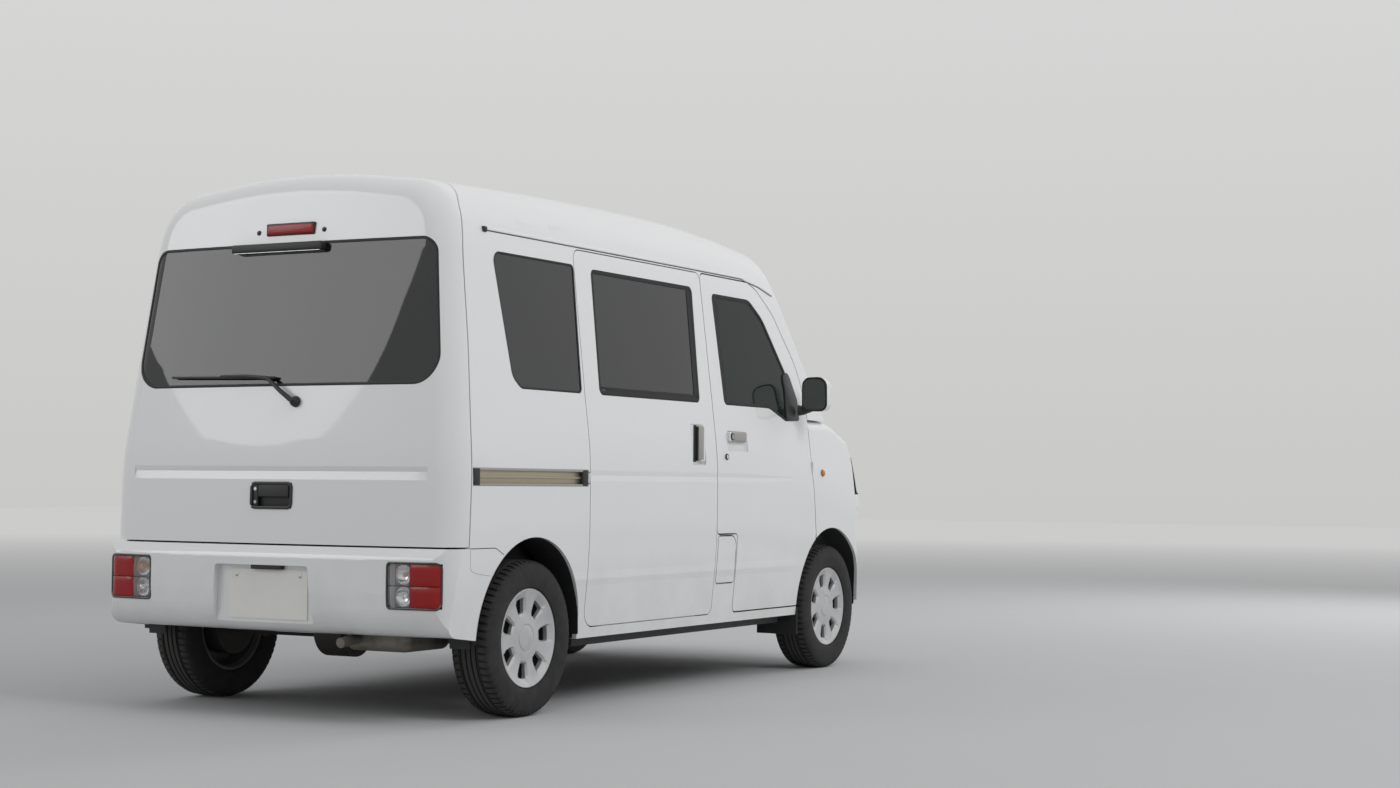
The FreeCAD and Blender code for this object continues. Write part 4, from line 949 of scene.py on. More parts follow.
class KEIVAN_OT_rear_fittings(bpy.types.Operator):
    """Adds the tail lamps, brake lamp, handle, wiper and plate lamp"""
    bl_idname = "keivan.rear_fittings"
    bl_label = "Rear Fittings"

    def execute(self, context):
        self.lamps()
        self.handle()
        self.wiper()
        self.seams()
        glass = Skin("tailgate", "tailgate_glass")
        block("brake_lamp_rim", (-.113, 1.5555, 1.6285), (.094, 1.5902, 1.6715), "black", "tailgate",
              bevel=.005)
        block("brake_lamp_lens", (-.1095, 1.5555, 1.6318), (.0905, 1.5925, 1.6682), "red", "tailgate",
              bevel=.007, segments=5)
        for x in (-.15, .13):
            place, normal = glass.back(x, 1.643)
            lathe(f"plug_{'left' if x > 0 else 'right'}",
                  [(-.003, TIP), (-.003, .009), (.002, .0085), (.0045, .005), (.005, TIP)], place, normal,
                  "black", "tailgate", steps=24)
        place, normal = glass.back(.03, 1.585)
        block("under_mirror_shell", (-.165, place.y - .004, 1.572), (.225, place.y + .030, 1.602), "black",
              "tailgate", bevel=.009, segments=4)
        block("under_mirror_glass", (-.155, place.y + .001, 1.5712), (.215, place.y + .025, 1.5724),
              "mirror", "tailgate", bevel=.0003, segments=1)
        block("plate_lamp", (-.075, 1.667, .497), (.055, 1.690, .5135), "black", "body", bevel=.004)
        block("plate_lamp_lens", (-.055, 1.671, .494), (.035, 1.686, .4975), "clear", "body", bevel=.001)
        for x in (-.145, .125):
            lathe(f"plate_screw_{'left' if x > 0 else 'right'}",
                  [(-.002, TIP), (-.002, .006), (.001, .0058), (.0026, .003), (.0026, TIP)],
                  (x, 1.6743, .476), (0, 1, 0), "silver", "body", steps=20)
        return {"FINISHED"}

    @staticmethod
    def seams():
        """The joints between the bumper's ends and the body sides, and the thin line of its filler panel."""
        for side, s in SIDES:
            skin = Skin("body_side_" + side, "rear_bumper")
            for name, width, look, corners in (
                ("bumper_seam", .0026, "seal", [(1.560, .5778), (1.530, .5776), (1.405, .5772),
                                                (1.392, .5742), (1.338, .5495)]),
                ("filler_line", .0016, "shadow", [(1.5450, .5740), (1.5440, .545), (1.5400, .5120),
                                                  (1.5330, .5040), (1.5130, .4975), (1.4835, .4925),
                                                  (1.4220, .4858)])):
                line = evenly([Vector(corner) for corner in corners], .012, False)
                path = [skin.side(a, b, s) for a, b in line]
                strip(f"{name}_{side}", path, width, .0004, look, "body", closed=False, sink=.0015)

    @staticmethod
    def cell(name, x0, x1, z0, z1, skin, look, bulge, s, deep=.010):
        """One pillow-faced cell of a lamp, over the lamp's own surface."""
        count = 10
        outer, inner = [], []
        for i in range(count + 1):
            for j in range(count + 1):
                u, v = i / count, j / count
                x, z = x0 + (x1 - x0) * u, z0 + (z1 - z0) * v
                place, _ = skin.back(x * s, z)
                rise = bulge * min(1, 5 * min(u, 1 - u)) ** .5 * min(1, 5 * min(v, 1 - v)) ** .5
                outer.append(Vector((x * s, place.y + rise, z)))
                inner.append(Vector((x * s, place.y - deep, z)))
        step = count + 1
        base = len(outer)
        faces = []
        for i in range(count):
            for j in range(count):
                a, b, c, d = i * step + j, (i + 1) * step + j, (i + 1) * step + j + 1, i * step + j + 1
                faces += [[a, b, c, d], [base + d, base + c, base + b, base + a]]
            for a, b in (((i * step), (i + 1) * step), ((i + 1) * step + count, i * step + count)):
                faces.append([b, a, base + a, base + b])
        for j in range(count):
            for a, b in ((j + 1, j), (count * step + j, count * step + j + 1)):
                faces.append([b, a, base + a, base + b])
        return solid(name, outer + inner, faces, look, "body", angle=30)

    def lamps(self):
        for side, s in SIDES:
            plain = Skin("tail_lamps")
            pieces = []
            for i, (z0, z1) in enumerate(((.3875, .4555), (.4585, .5275))):
                pieces.append(self.cell(f"tail_red_{side}_{i}", .5890, .6975, z0, z1, plain, "red", .0035, s))
                pieces.append(self.cell(f"tail_clear_{side}_{i}", .5055, .5860, z0, z1, plain, "clear",
                                        .0020, s, .004))
                mid = (z0 + z1) / 2
                place, _ = plain.back(.552 * s, mid)
                pieces.append(lathe(f"tail_bulb_{side}_{i}",
                                    [(0, TIP), (.006, .006), (.014, .0085), (.022, .007), (.026, TIP)],
                                    (.562 * s, place.y - .034, mid), (0, 1, 0),
                                    "amber" if i else "reflector", "body", steps=24))
                pieces.append(lathe(f"tail_bowl_{side}_{i}",
                                    [(.0, TIP), (.001, .012), (.008, .024), (.018, .0300), (.018, .0315),
                                     (-.003, .0315), (-.003, TIP)], (.5545 * s, place.y - .0365, mid),
                                    (0, 1, 0), "reflector", "body", steps=32))
            pieces.append(block(f"tail_base_{side}",
                                *shifted((.5055, 1.6365, .3855), (.7000, 1.6395, .5295), s), "trim", "body",
                                bevel=.001))
            frame_points = evenly(rounded([(.5035, .3835, .012), (.5035, .5315, .012), (.7010, .5315, .018),
                                           (.7010, .3835, .018)], 5), .012)
            path = []
            for a, b in frame_points:
                place, _ = plain.back(max(a, .5165) * s, min(max(b, .3970), .5180))
                path.append((Vector((a * s, place.y, b)), Vector((0, 1, 0))))
            pieces.append(strip(f"tail_rim_{side}", path, .0068, .0034, "gloss", "body", sink=.012))
            for a0, b0, a1, b1 in ((.5875, .388, .5875, .527), (.508, .457, .696, .457)):
                # taken beside the grooves that the ribs lie in
                start, _ = plain.back(a0 * s, b0 + .003)
                end, _ = plain.back(a1 * s, b1 + .003)
                start, end = (Vector((a * s, p.y, b)) for a, b, p in ((a0, b0, start), (a1, b1, end)))
                pieces.append(tube(f"tail_rib_{side}_{len(pieces)}", [start - Vector((0, .001, 0)),
                                                                      end - Vector((0, .001, 0))], .0014,
                                   "gloss", "body", sides=8))
            # the bumper's own corner beyond the lamp's rounded end
            grid = []
            around = Skin("rear_bumper")
            for x in (.7035, .7065, .7095, .7125, .7150, .7170, .7225):
                row = []
                for k in range(13):
                    z = .3835 + .1480 * k / 12
                    if x > .72 or k in (0, 12):
                        place = around.back(x * s, z)[0] + Vector((0, .0002, 0))
                    else:
                        place = plain.back(x * s, z)[0] + Vector((0, .0012, 0))
                    row.append((place, Vector((0, -1, 0))))
                grid.append(row)
            pieces.append(sheet_over(f"tail_corner_{side}", grid, .004, "paint", "body"))
            stand_for("tail_lamps", pieces)

    @staticmethod
    def handle():
        """The tailgate's black handle: a rim, a tray and a flap with its lock."""
        skin = Skin("tailgate")
        outline = [(-.092, .703, .016), (-.092, .785, .016), (.077, .785, .016), (.077, .703, .016)]
        points = evenly(rounded(outline, 5), .02)
        path = []
        for a, b in points:
            place, _ = skin.back(a * 1.06 - .0004, (b - .744) * 1.14 + .744)
            path.append((Vector((a, place.y + .0005, b)), Vector((0, 1, 0))))
        strip("gate_handle_rim", path, .010, .004, "black", "tailgate", sink=.012)
        block("gate_handle_tray", (-.0925, 1.6455, .7025), (.0775, 1.6475, .7855), "black", "tailgate",
              bevel=.0005)
        block("gate_handle_flap", (-.080, 1.6485, .739), (.050, 1.6640, .781), "black", "tailgate",
              bevel=.004, segments=4)
        block("gate_handle_end", (.052, 1.6485, .708), (.074, 1.6615, .781), "black", "tailgate", bevel=.003)
        for z, look in ((.722, "silver"), (.766, "reflector")):
            lathe("gate_lock_" + look, [(0, TIP), (.0, .0058), (-.004, .006), (-.004, TIP)],
                  (.063, 1.6622, z), (0, 1, 0), look, "tailgate", steps=24)

    @staticmethod
    def wiper():
        """The rear wiper: pivot cap, bent arm, blade and rubber."""
        skin = Skin("tailgate", "tailgate_glass")

        def over(x, z, lift):
            place, _ = skin.back(x, z)
            return Vector((x, place.y + lift, z))
        pieces = []
        base = over(-.088, 1.059, 0)
        pieces.append(lathe("wiper_cap", [(-.004, TIP), (-.004, .019), (.004, .019), (.016, .015),
                                          (.021, .009), (.022, TIP)], base, (0, 1, 0), "black", "tailgate",
                            steps=32))
        arm = [over(-.088, 1.059, .018), over(-.04, 1.094, .026), over(.025, 1.140, .026),
               over(.12, 1.148, .022), over(.235, 1.149, .019)]
        pieces.append(tube("wiper_arm", arm, .006, "black", "tailgate", sides=10,
                           radii=[.009, .008, .0065, .005, .0045]))
        blade = [over(.0465 * i, 1.141 + .0007 * i,
                      .014 + .004 * math.sin(math.pi * i / 10)) for i in range(11)]
        pieces.append(tube("wiper_blade", blade, .0042, "black", "tailgate", sides=8))
        edge = [(over(.0465 * i, 1.141 + .0007 * i, .0), Vector((0, 1, .05))) for i in range(11)]
        pieces.append(strip("wiper_rubber", [(p + Vector((0, .0008, 0)), n) for p, n in edge], .0035, .013,
                            "seal", "tailgate", closed=False, sink=0.0, crown=.6))
        stand_for("rear_wiper", pieces)


# Surfaces that follow the inside of the body

def sheet_over(name, grid, thickness, look, body, angle=40):
    """A closed sheet over a grid of (place, direction of its thickness) rows."""
    rows, columns = len(grid), len(grid[0])
    front = [place for row in grid for place, _ in row]
    back = [place + away * thickness for row in grid for place, away in row]
    base = len(front)
    faces = []
    for i in range(rows - 1):
        for j in range(columns - 1):
            a, b = i * columns + j, (i + 1) * columns + j
            c, d = b + 1, a + 1
            faces += [[a, b, c, d], [base + d, base + c, base + b, base + a]]
    rim = [j for j in range(columns)] + [i * columns + columns - 1 for i in range(1, rows)]
    rim += [(rows - 1) * columns + j for j in range(columns - 2, -1, -1)]
    rim += [i * columns for i in range(rows - 2, 0, -1)]
    for k, a in enumerate(rim):
        b = rim[(k + 1) % len(rim)]
        faces.append([b, a, base + a, base + b])
    return solid(name, front + back, faces, look, body, angle=angle)


def spread(start, end, count):
    return [start + (end - start) * i / (count - 1) for i in range(count)]


# Seats

PAD_VOXEL, PAD_PRESSURE, PAD_TRAVEL, PAD_FRAMES = 0.009, 3.0, 0.014, 16
SEAM_DEPTH, SEAM_WIDTH = 0.004, 0.010
FRONT_SEAT_X, CHANNEL_FROM_MIDDLE = 0.36, 0.135


def pad(name, low, high, lean):
    """A closed cushion form: a box with eased edges and an even mesh, leaning back by lean per metre up."""
    (x0, y0, z0), (x1, y1, z1) = low, high
    mesh = bpy.data.meshes.new(name)
    bm = bmesh.new()
    bmesh.ops.create_cube(bm, size=1.0)
    for vertex in bm.verts:
        u, v, w = vertex.co
        vertex.co = Vector(((x0 + x1) / 2 + u * (x1 - x0), (y0 + y1) / 2 + v * (y1 - y0),
                            (z0 + z1) / 2 + w * (z1 - z0)))
    bmesh.ops.bevel(bm, geom=bm.edges[:], offset=0.03, segments=3, profile=0.5, affect="EDGES")
    bmesh.ops.triangulate(bm, faces=bm.faces)
    bm.to_mesh(mesh)
    bm.free()
    piece = linked(name, mesh)
    remesh = piece.modifiers.new("even", "REMESH")
    remesh.mode, remesh.voxel_size = "VOXEL", PAD_VOXEL
    baked(piece)
    for vertex in piece.data.vertices:
        vertex.co.y += lean * (vertex.co.z - z0)
    return piece


def baked(piece):
    """Turns a piece's modifiers into its mesh."""
    graph = bpy.context.evaluated_depsgraph_get()
    mesh = bpy.data.meshes.new_from_object(piece.evaluated_get(graph), depsgraph=graph)
    mesh.name = piece.data.name
    piece.modifiers.clear()
    piece.data = mesh


def inflated(piece):
    """The pad blown up a little by a cloth simulation, with every point's travel capped."""
    start = [v.co.copy() for v in piece.data.vertices]
    cloth = piece.modifiers.new("swell", "CLOTH")
    cloth.settings.use_pressure = True
    cloth.settings.uniform_pressure_force = PAD_PRESSURE
    cloth.settings.effector_weights.gravity = 0
    cloth.settings.quality = 5
    cloth.settings.tension_stiffness = cloth.settings.compression_stiffness = 8
    cloth.collision_settings.use_collision = False
    cloth.collision_settings.use_self_collision = False
    scene = bpy.context.scene
    for frame_number in range(1, PAD_FRAMES + 1):
        scene.frame_set(frame_number)
    graph = bpy.context.evaluated_depsgraph_get()
    mesh = bpy.data.meshes.new_from_object(piece.evaluated_get(graph), depsgraph=graph)
    piece.modifiers.clear()
    for vertex, before in zip(mesh.vertices, start):
        travel = vertex.co - before
        if travel.length > PAD_TRAVEL:
            vertex.co = before + travel.normalized() * PAD_TRAVEL
    piece.data = mesh
    scene.frame_set(1)


def seamed(piece, lines):
    """Presses sewn channels into a pad where its x is one of the lines."""
    for vertex in piece.data.vertices:
        for x in lines:
            off = abs(vertex.co.x - x)
            if off < SEAM_WIDTH:
                vertex.co -= vertex.normal * SEAM_DEPTH * (1 - (off / SEAM_WIDTH) ** 2)


def soft_piece(name, low, high, lean, lines, node, mirror=False):
    """A padded piece that stands for a seat's solid, and its twin on the right where it is mirrored."""
    piece = pad(name, low, high, lean)
    inflated(piece)
    seamed(piece, lines)
    for polygon in piece.data.polygons:
        polygon.use_smooth = True
    result = [piece]
    if mirror:
        mesh = piece.data.copy()
        mesh.transform(Matrix.Diagonal((-1, 1, 1, 1)))
        mesh.flip_normals()
        result.append(linked(name + "_right", mesh))
        piece.name = name + "_left"
    for item in result:
        settle(item, "cloth", "body")
        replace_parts(item, node)


class KEIVAN_OT_seats(bpy.types.Operator):
    """Adds the padded seats with their frames"""
    bl_idname = "keivan.seats"
    bl_label = "Seats"

    def execute(self, context):
        channel = (FRONT_SEAT_X - CHANNEL_FROM_MIDDLE, FRONT_SEAT_X + CHANNEL_FROM_MIDDLE)
        soft_piece("front_cushion", (.14, -.722, .702), (.58, -.258, .806), 0, channel, "front_seats",
                   mirror=True)
        soft_piece("front_back", (.158, -.292, .768), (.562, -.208, 1.272), .205, channel,
                   "front_seats", mirror=True)
        soft_piece("front_headrest", (.248, -.188, 1.318), (.472, -.112, 1.452), 0, (), "front_seats",
                   mirror=True)
        splits = (0.0, -.3, .3)
        soft_piece("rear_cushion", (-.578, .242, .752), (.578, .688, .856), 0, splits, "rear_seat")
        soft_piece("rear_back", (-.568, .652, .815), (.568, .735, 1.215), .2, splits, "rear_seat")
        for x, side in ((.3, "left"), (-.3, "right")):
            soft_piece(f"rear_headrest_{side}", (x - .112, .742, 1.258), (x + .112, .808, 1.388), 0, (),
                       "rear_seat")
        for side, s in SIDES:
            for x in (.31, .41):
                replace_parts(tube(f"headrest_post_{side}_{int(x * 100)}",
                                 [(s * x, -.160, 1.24), (s * x, -.150, 1.335)], .0055, "silver", "body"),
                            "front_seats")
            for x in (.25, .35):
                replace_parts(tube(f"rear_post_{side}_{int(x * 100)}",
                                 [(s * x, .765, 1.18), (s * x, .775, 1.275)], .0055, "silver", "body"),
                            "rear_seat")
            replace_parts(block(f"seat_base_{side}", *shifted((.16, -.71, .6905), (.56, -.28, .704), s),
                              "trim", "body", bevel=.004), "front_seats")
            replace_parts(block(f"recline_cover_{side}", *shifted((.566, -.30, .70), (.588, -.22, .80), s),
                              "black", "body", bevel=.006), "front_seats")
            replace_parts(tube(f"seat_back_shell_{side}", [(s * .19, -.155, .80), (s * .19, -.068, 1.24),
                                                         (s * .53, -.068, 1.24), (s * .53, -.155, .80)],
                             .009, "black", "body"), "front_seats")
        for x in (-.45, 0, .45):
            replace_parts(block(f"rear_leg_{int(x * 100)}", (x - .02, .30, .6205), (x + .02, .66, .745),
                              "black", "body", bevel=.004), "rear_seat")
        return {"FINISHED"}


# Cabin

class KEIVAN_OT_cabin(bpy.types.Operator):
    """Adds the linings, dashboard details, steering wheel and mirrors"""
    bl_idname = "keivan.cabin"
    bl_label = "Cabin"

    def execute(self, context):
        for side, s in SIDES:
            door = "front_door_" + side
            inner = Skin(door)
            slide = Skin("sliding_door_" + side)
            wall = Skin("body_side_" + side)
            for name, skin, ys, zs, body, look in (
                    ("door_card", inner, spread(-.99, -.36, 14), spread(.34, 1.03, 10), door, "cabin"),
                    ("slide_card", slide, spread(-.12, .77, 14), spread(.34, 1.08, 10), "body", "cabin"),
                    ("load_card", wall, spread(.84, 1.46, 10), spread(.73, 1.08, 6), "body", "cabin_light")):
                grid = []
                for y in ys:
                    row = []
                    # the door's lower front corner follows the wheel arch
                    arch = ARCH_Z + math.sqrt(max(.36 ** 2 - (y - FRONT_AXLE_Y) ** 2, 0))
                    lowest = max(zs[0], arch if y > FRONT_AXLE_Y and arch > ARCH_Z + .001 else 0)
                    for z in zs:
                        z = lowest + (z - zs[0]) * (zs[-1] - lowest) / (zs[-1] - zs[0])
                        place, _ = skin.hit((.2 * s, y, z), (s, 0, 0))
                        row.append((Vector((place.x - .0045 * s, y, z)), Vector((s, 0, 0))))
                    grid.append(row)
                sheet_over(f"{name}_{side}", grid, .004, look, body)
            place, _ = inner.hit((.2 * s, -.55, .86), (s, 0, 0))
            block(f"armrest_{side}", *shifted((abs(place.x) - .05, -.72, .83),
                                              (abs(place.x) - .004, -.30, .875), s),
                  "trim", door, bevel=.012, segments=4)
            lathe(f"winder_{side}", [(0, TIP), (.0, .018), (.012, .016), (.018, .008), (.018, TIP)],
                  (place.x - .004 * s, -.62, .75), (-s, 0, 0), "black", door, steps=24)
            tube(f"pillar_grip_{side}", [(s * .60, -.84, 1.42), (s * .575, -.835, 1.43),
                                         (s * .555, -.79, 1.50), (s * .548, -.72, 1.575),
                                         (s * .568, -.68, 1.612)], .009, "trim", "body",
                 sides=10)
        roof = Skin("roof_panel")
        grid = []
        for y in spread(-.70, 1.28, 24):
            row = []
            for x in spread(-.50, .50, 13):
                place, _ = roof.hit((x, y, 1.3), (0, 0, 1))
                row.append((Vector((x, y, place.z - .0065)), Vector((0, 0, 1))))
            grid.append(row)
        sheet_over("headlining", grid, .006, "cabin_light", "body")
        block("load_mat", (-.54, .20, .6205), (.54, 1.53, .6245), "carpet", "body", bevel=.0015)
        block("rear_mat", (-.66, -.12, .6206), (.66, .195, .6246), "carpet", "body", bevel=.0015)
        block("front_mat_left", (.05, -1.24, .4305), (.40, -.79, .4345), "carpet", "body", bevel=.0015)
        block("front_mat_right", (-.40, -1.24, .4305), (-.05, -.79, .4345), "carpet", "body", bevel=.0015)
        self.dash()
        self.steering()
        block("inner_mirror", (-.12, -.965, 1.60), (.12, -.945, 1.66), "black", "body", bevel=.008)
        block("inner_mirror_glass", (-.113, -.9455, 1.606), (.113, -.9443, 1.654), "mirror", "body",
              bevel=.0004)
        tube("inner_mirror_stem", [(0, -.962, 1.645), (0, -.955, 1.70), (0, -.925, 1.722)], .007, "black",
             "body")
        for side, s in SIDES:
            block(f"visor_{side}", *shifted((.09, -.90, 1.694), (.47, -.76, 1.706), s), "cabin_light", "body",
                  bevel=.005)
        return {"FINISHED"}

    @staticmethod
    def dash():
        """The binnacle, centre stack, vents, knobs, glovebox and gear lever."""
        block("binnacle", (-.50, -1.215, 1.045), (-.19, -1.120, 1.135), "trim", "body", bevel=.018,
              segments=4)
        block("dials", (-.475, -1.1215, 1.062), (-.215, -1.1185, 1.122), "gloss", "body", bevel=.003)
        block("centre_stack", (-.11, -1.10, .80), (.13, -1.078, 1.03), "trim", "body", bevel=.008)
        block("radio", (-.095, -1.0795, .945), (.115, -1.0725, 1.0), "gloss", "body", bevel=.003)
        for i, x in enumerate((-.055, .01, .075)):
            lathe(f"heater_knob_{i}", [(0, TIP), (.0, .019), (.014, .017), (.017, .013), (.017, TIP)],
                  (x, -1.078, .875), (0, 1, 0), "black", "body", steps=28)
        for i, (x, z) in enumerate(((-.60, 1.0), (-.06, 1.048), (.08, 1.048), (.60, 1.0))):
            block(f"vent_{i}", (x - .055, -1.102, z - .028), (x + .055, -1.077, z + .028), "black", "body",
                  bevel=.006)
            for k in range(4):
                block(f"vent_slat_{i}_{k}", (x - .047, -1.0785, z - .0195 + k * .0125), (x + .047, -1.0725,
                      z - .0175 + k * .0125), "trim", "body", bevel=.0006, segments=1)
        block("glovebox", (.20, -1.094, .855), (.54, -1.080, .985), "cabin", "body", bevel=.008)
        tube("gear_lever", [(-.07, -1.14, .78), (-.07, -1.03, .84), (-.07, -.995, .905)], .009, "black",
             "body")
        lathe("gear_knob", [(-.02, TIP), (-.018, .014), (0, .021), (.018, .018), (.027, .008), (.028, TIP)],
              (-.07, -.99, .92), (0, .35, .94), "black", "body", steps=28)

    @staticmethod
    def steering():
        """The steering wheel: grip, hub, spokes and the end of its shaft."""
        centre, axis = Vector((-.345, -.985, 1.055)), Vector((0, .64, .768)).normalized()
        across = Vector((1, 0, 0))
        down = across.cross(axis)

        def at(a, b, c=0.0):
            return centre + across * a + down * b + axis * c
        ring = [at(.178 * math.cos(t), .178 * math.sin(t)) for t in (2 * math.pi * k / 72 for k in range(72))]
        pieces = [tube("wheel_grip", ring, .0138, "black", "steering_wheel", sides=16, closed=True)]
        pieces.append(lathe("wheel_hub", [(-.056, TIP), (-.056, .045), (-.03, .056), (-.008, .062),
                                          (.004, .055), (.010, .03), (.011, TIP)], centre - axis * .012,
                            axis, "trim", "steering_wheel", steps=48))
        for i, turn in enumerate((0, 180, 270)):
            u, v = math.cos(math.radians(turn)), math.sin(math.radians(turn))
            pieces.append(tube(f"wheel_spoke_{i}",
                               [at(u * .03, v * .03, -.020), at(u * .10, v * .10, -.012),
                                at(u * .172, v * .172, -.002)], .012, "trim", "steering_wheel", sides=12,
                               radii=[.018, .012, .009]))
        pieces.append(tube("wheel_shaft", [centre - axis * .0695, centre - axis * .05], .012, "casting",
                           "steering_wheel", sides=20))
        stand_for("steering_wheel", pieces)


# Front end

# where the lens turns round the corner and how far it goes on, and its facing there, in degrees
LAMP_CORNER_X, LAMP_WRAP = .694, .105
LAMP_FACING, LAMP_SWEEP = 56, 13


class KEIVAN_OT_front_fittings(bpy.types.Operator):
    """Adds the headlamps, the fog lamp covers and the front plate"""
    bl_idname = "keivan.front_fittings"
    bl_label = "Front Fittings"

    def execute(self, context):
        lamp_skin, nose = Skin("headlamps"), Skin("nose_panel", "front_bumper", "hood")
        for side, s in SIDES:
            def lamp_at(a, z):
                """A place on the lens: across the front as far as the corner, then round it to the side."""
                if a <= LAMP_CORNER_X:
                    place, _ = lamp_skin.front(a * s, z)
                    return Vector((a * s, place.y, z)), Vector((0, 1, 0))
                turn = math.radians(LAMP_FACING - (a - LAMP_CORNER_X) / LAMP_WRAP * LAMP_SWEEP)
                away = Vector((-s * math.cos(turn), math.sin(turn), 0))
                place, _ = lamp_skin.hit(Vector((.45 * s, -1.25, z)) - away * .8, away)
                return Vector((place.x, place.y, z)), away

            pieces = []
            grid = []
            for a in spread(.452, LAMP_CORNER_X, 16) + spread(.709, .796, 8):
                row = []
                for z in spread(.757, .920, 9):
                    place, away = lamp_at(a, z)
                    row.append((place + away * .001, away))
                grid.append(row)
            pieces.append(sheet_over(f"headlamp_lens_{side}", grid, .0035, "clear", "body"))
            back = [[(place + away * (.052 if away.x == 0 else .030), away) for place, away in row]
                    for row in grid]
            pieces.append(sheet_over(f"headlamp_back_{side}", back, .003, "reflector", "body"))
            for name, x, z, size in (("main", .530, .835, .068), ("turn", .640, .845, .036)):
                place, _ = lamp_skin.front(x * s, z)
                at = (x * s, place.y + .050, z)
                pieces.append(lathe(f"bowl_{name}_{side}",
                                    [(0, TIP), (.002, size * .35), (.012, size * .72), (.032, size),
                                     (.032, size + .003), (-.004, size + .003), (-.004, TIP)], at,
                                    (0, -1, 0), "reflector", "body", steps=40))
                pieces.append(lathe(f"bulb_{name}_{side}", [(.001, TIP), (.004, size * .2), (.020, size * .2),
                                                            (.026, TIP)], at, (0, -1, 0),
                                    "amber" if name == "turn" else "clear", "body", steps=24))
            edge = evenly(rounded([(.449, .757, .02), (.455, .920, .02), (.798, .920, .02),
                                   (.798, .757, .02)], 4), .02)
            path = []
            for a, z in edge:
                place, away = lamp_at(a, z)
                path.append((place + away * .0015, -away))
            pieces.append(strip(f"headlamp_rim_{side}", path, .005, .003, "seal", "body", sink=.03))
            stand_for("headlamps", pieces)
            place, normal = nose.front(.50 * s, .40)
            lathe(f"fog_cover_{side}", [(-.014, TIP), (-.014, .046), (.006, .046), (.0075, .042),
                                        (.006, .038), (.0045, TIP)], place, normal, "black", "body",
                  steps=40)
        place, _ = nose.front(0, .56)
        block("front_plate", (-.165, place.y - .0085, .495), (.165, place.y - .0045, .655), "plate", "body",
              bevel=.0012)
        for x in (-.13, .13):
            block(f"front_plate_bracket_{'left' if x > 0 else 'right'}", (x - .012, place.y - .0045, .52),
                  (x + .012, place.y + .004, .63), "black", "body", bevel=.001)
        return {"FINISHED"}


# Mirrors on the doors

class KEIVAN_OT_mirrors(bpy.types.Operator):
    """Adds the door mirrors"""
    bl_idname = "keivan.mirrors"
    bl_label = "Door Mirrors"

    def execute(self, context):
        for side, s in SIDES:
            body = "front_door_" + side
            outline = rounded([(.752, 1.108, .026), (.752, 1.250, .034), (.864, 1.252, .040),
                               (.866, 1.106, .030)], 6)
            pieces = []
            centre = Vector((.808 * s, 1.18))
            rings = ((-.903, .90), (-.9045, 1.0), (-.925, 1.0), (-.950, .965), (-.972, .86), (-.984, .62),
                     (-.988, .25))
            points = []
            for y, size in rings:
                for a, b in outline:
                    points.append((centre.x + (a * s - centre.x) * size, y, centre.y + (b - centre.y) * size))
            count = len(outline)
            faces = []
            for i in range(len(rings) - 1):
                for k in range(count):
                    m = (k + 1) % count
                    faces.append([i * count + k, i * count + m, (i + 1) * count + m, (i + 1) * count + k])
            faces += [list(range(count)), [(len(rings) - 1) * count + k for k in range(count)][::-1]]
            pieces.append(solid(f"mirror_shell_{side}", points, faces, "paint", body, angle=42))
            edge = [(Vector((centre.x + (a * s - centre.x) * .955, -.9035, centre.y + (b - centre.y) * .955)),
                     Vector((0, 1, 0))) for a, b in outline]
            pieces.append(strip(f"mirror_rim_{side}", edge, .008, .0035, "black", body))
            face_points = [(centre.x + (a * s - centre.x) * .90,
                            centre.y + (b - centre.y) * .90) for a, b in outline]
            points, faces = prism(face_points, lambda a, b: (a, -.9025, b), lambda a, b: (a, -.9005, b))
            pieces.append(solid(f"mirror_pane_{side}", points, faces, "mirror", body, angle=30))
            pieces.append(tube(f"mirror_foot_{side}", [(.722 * s, -.925, 1.112), (.745 * s, -.932, 1.112),
                                                       (.772 * s, -.938, 1.120), (.79 * s, -.94, 1.135)],
                               .016, "black", body, sides=14, radii=[.024, .019, .016, .016]))
            stand_for("mirror_" + side, pieces)
        return {"FINISHED"}


# Underside

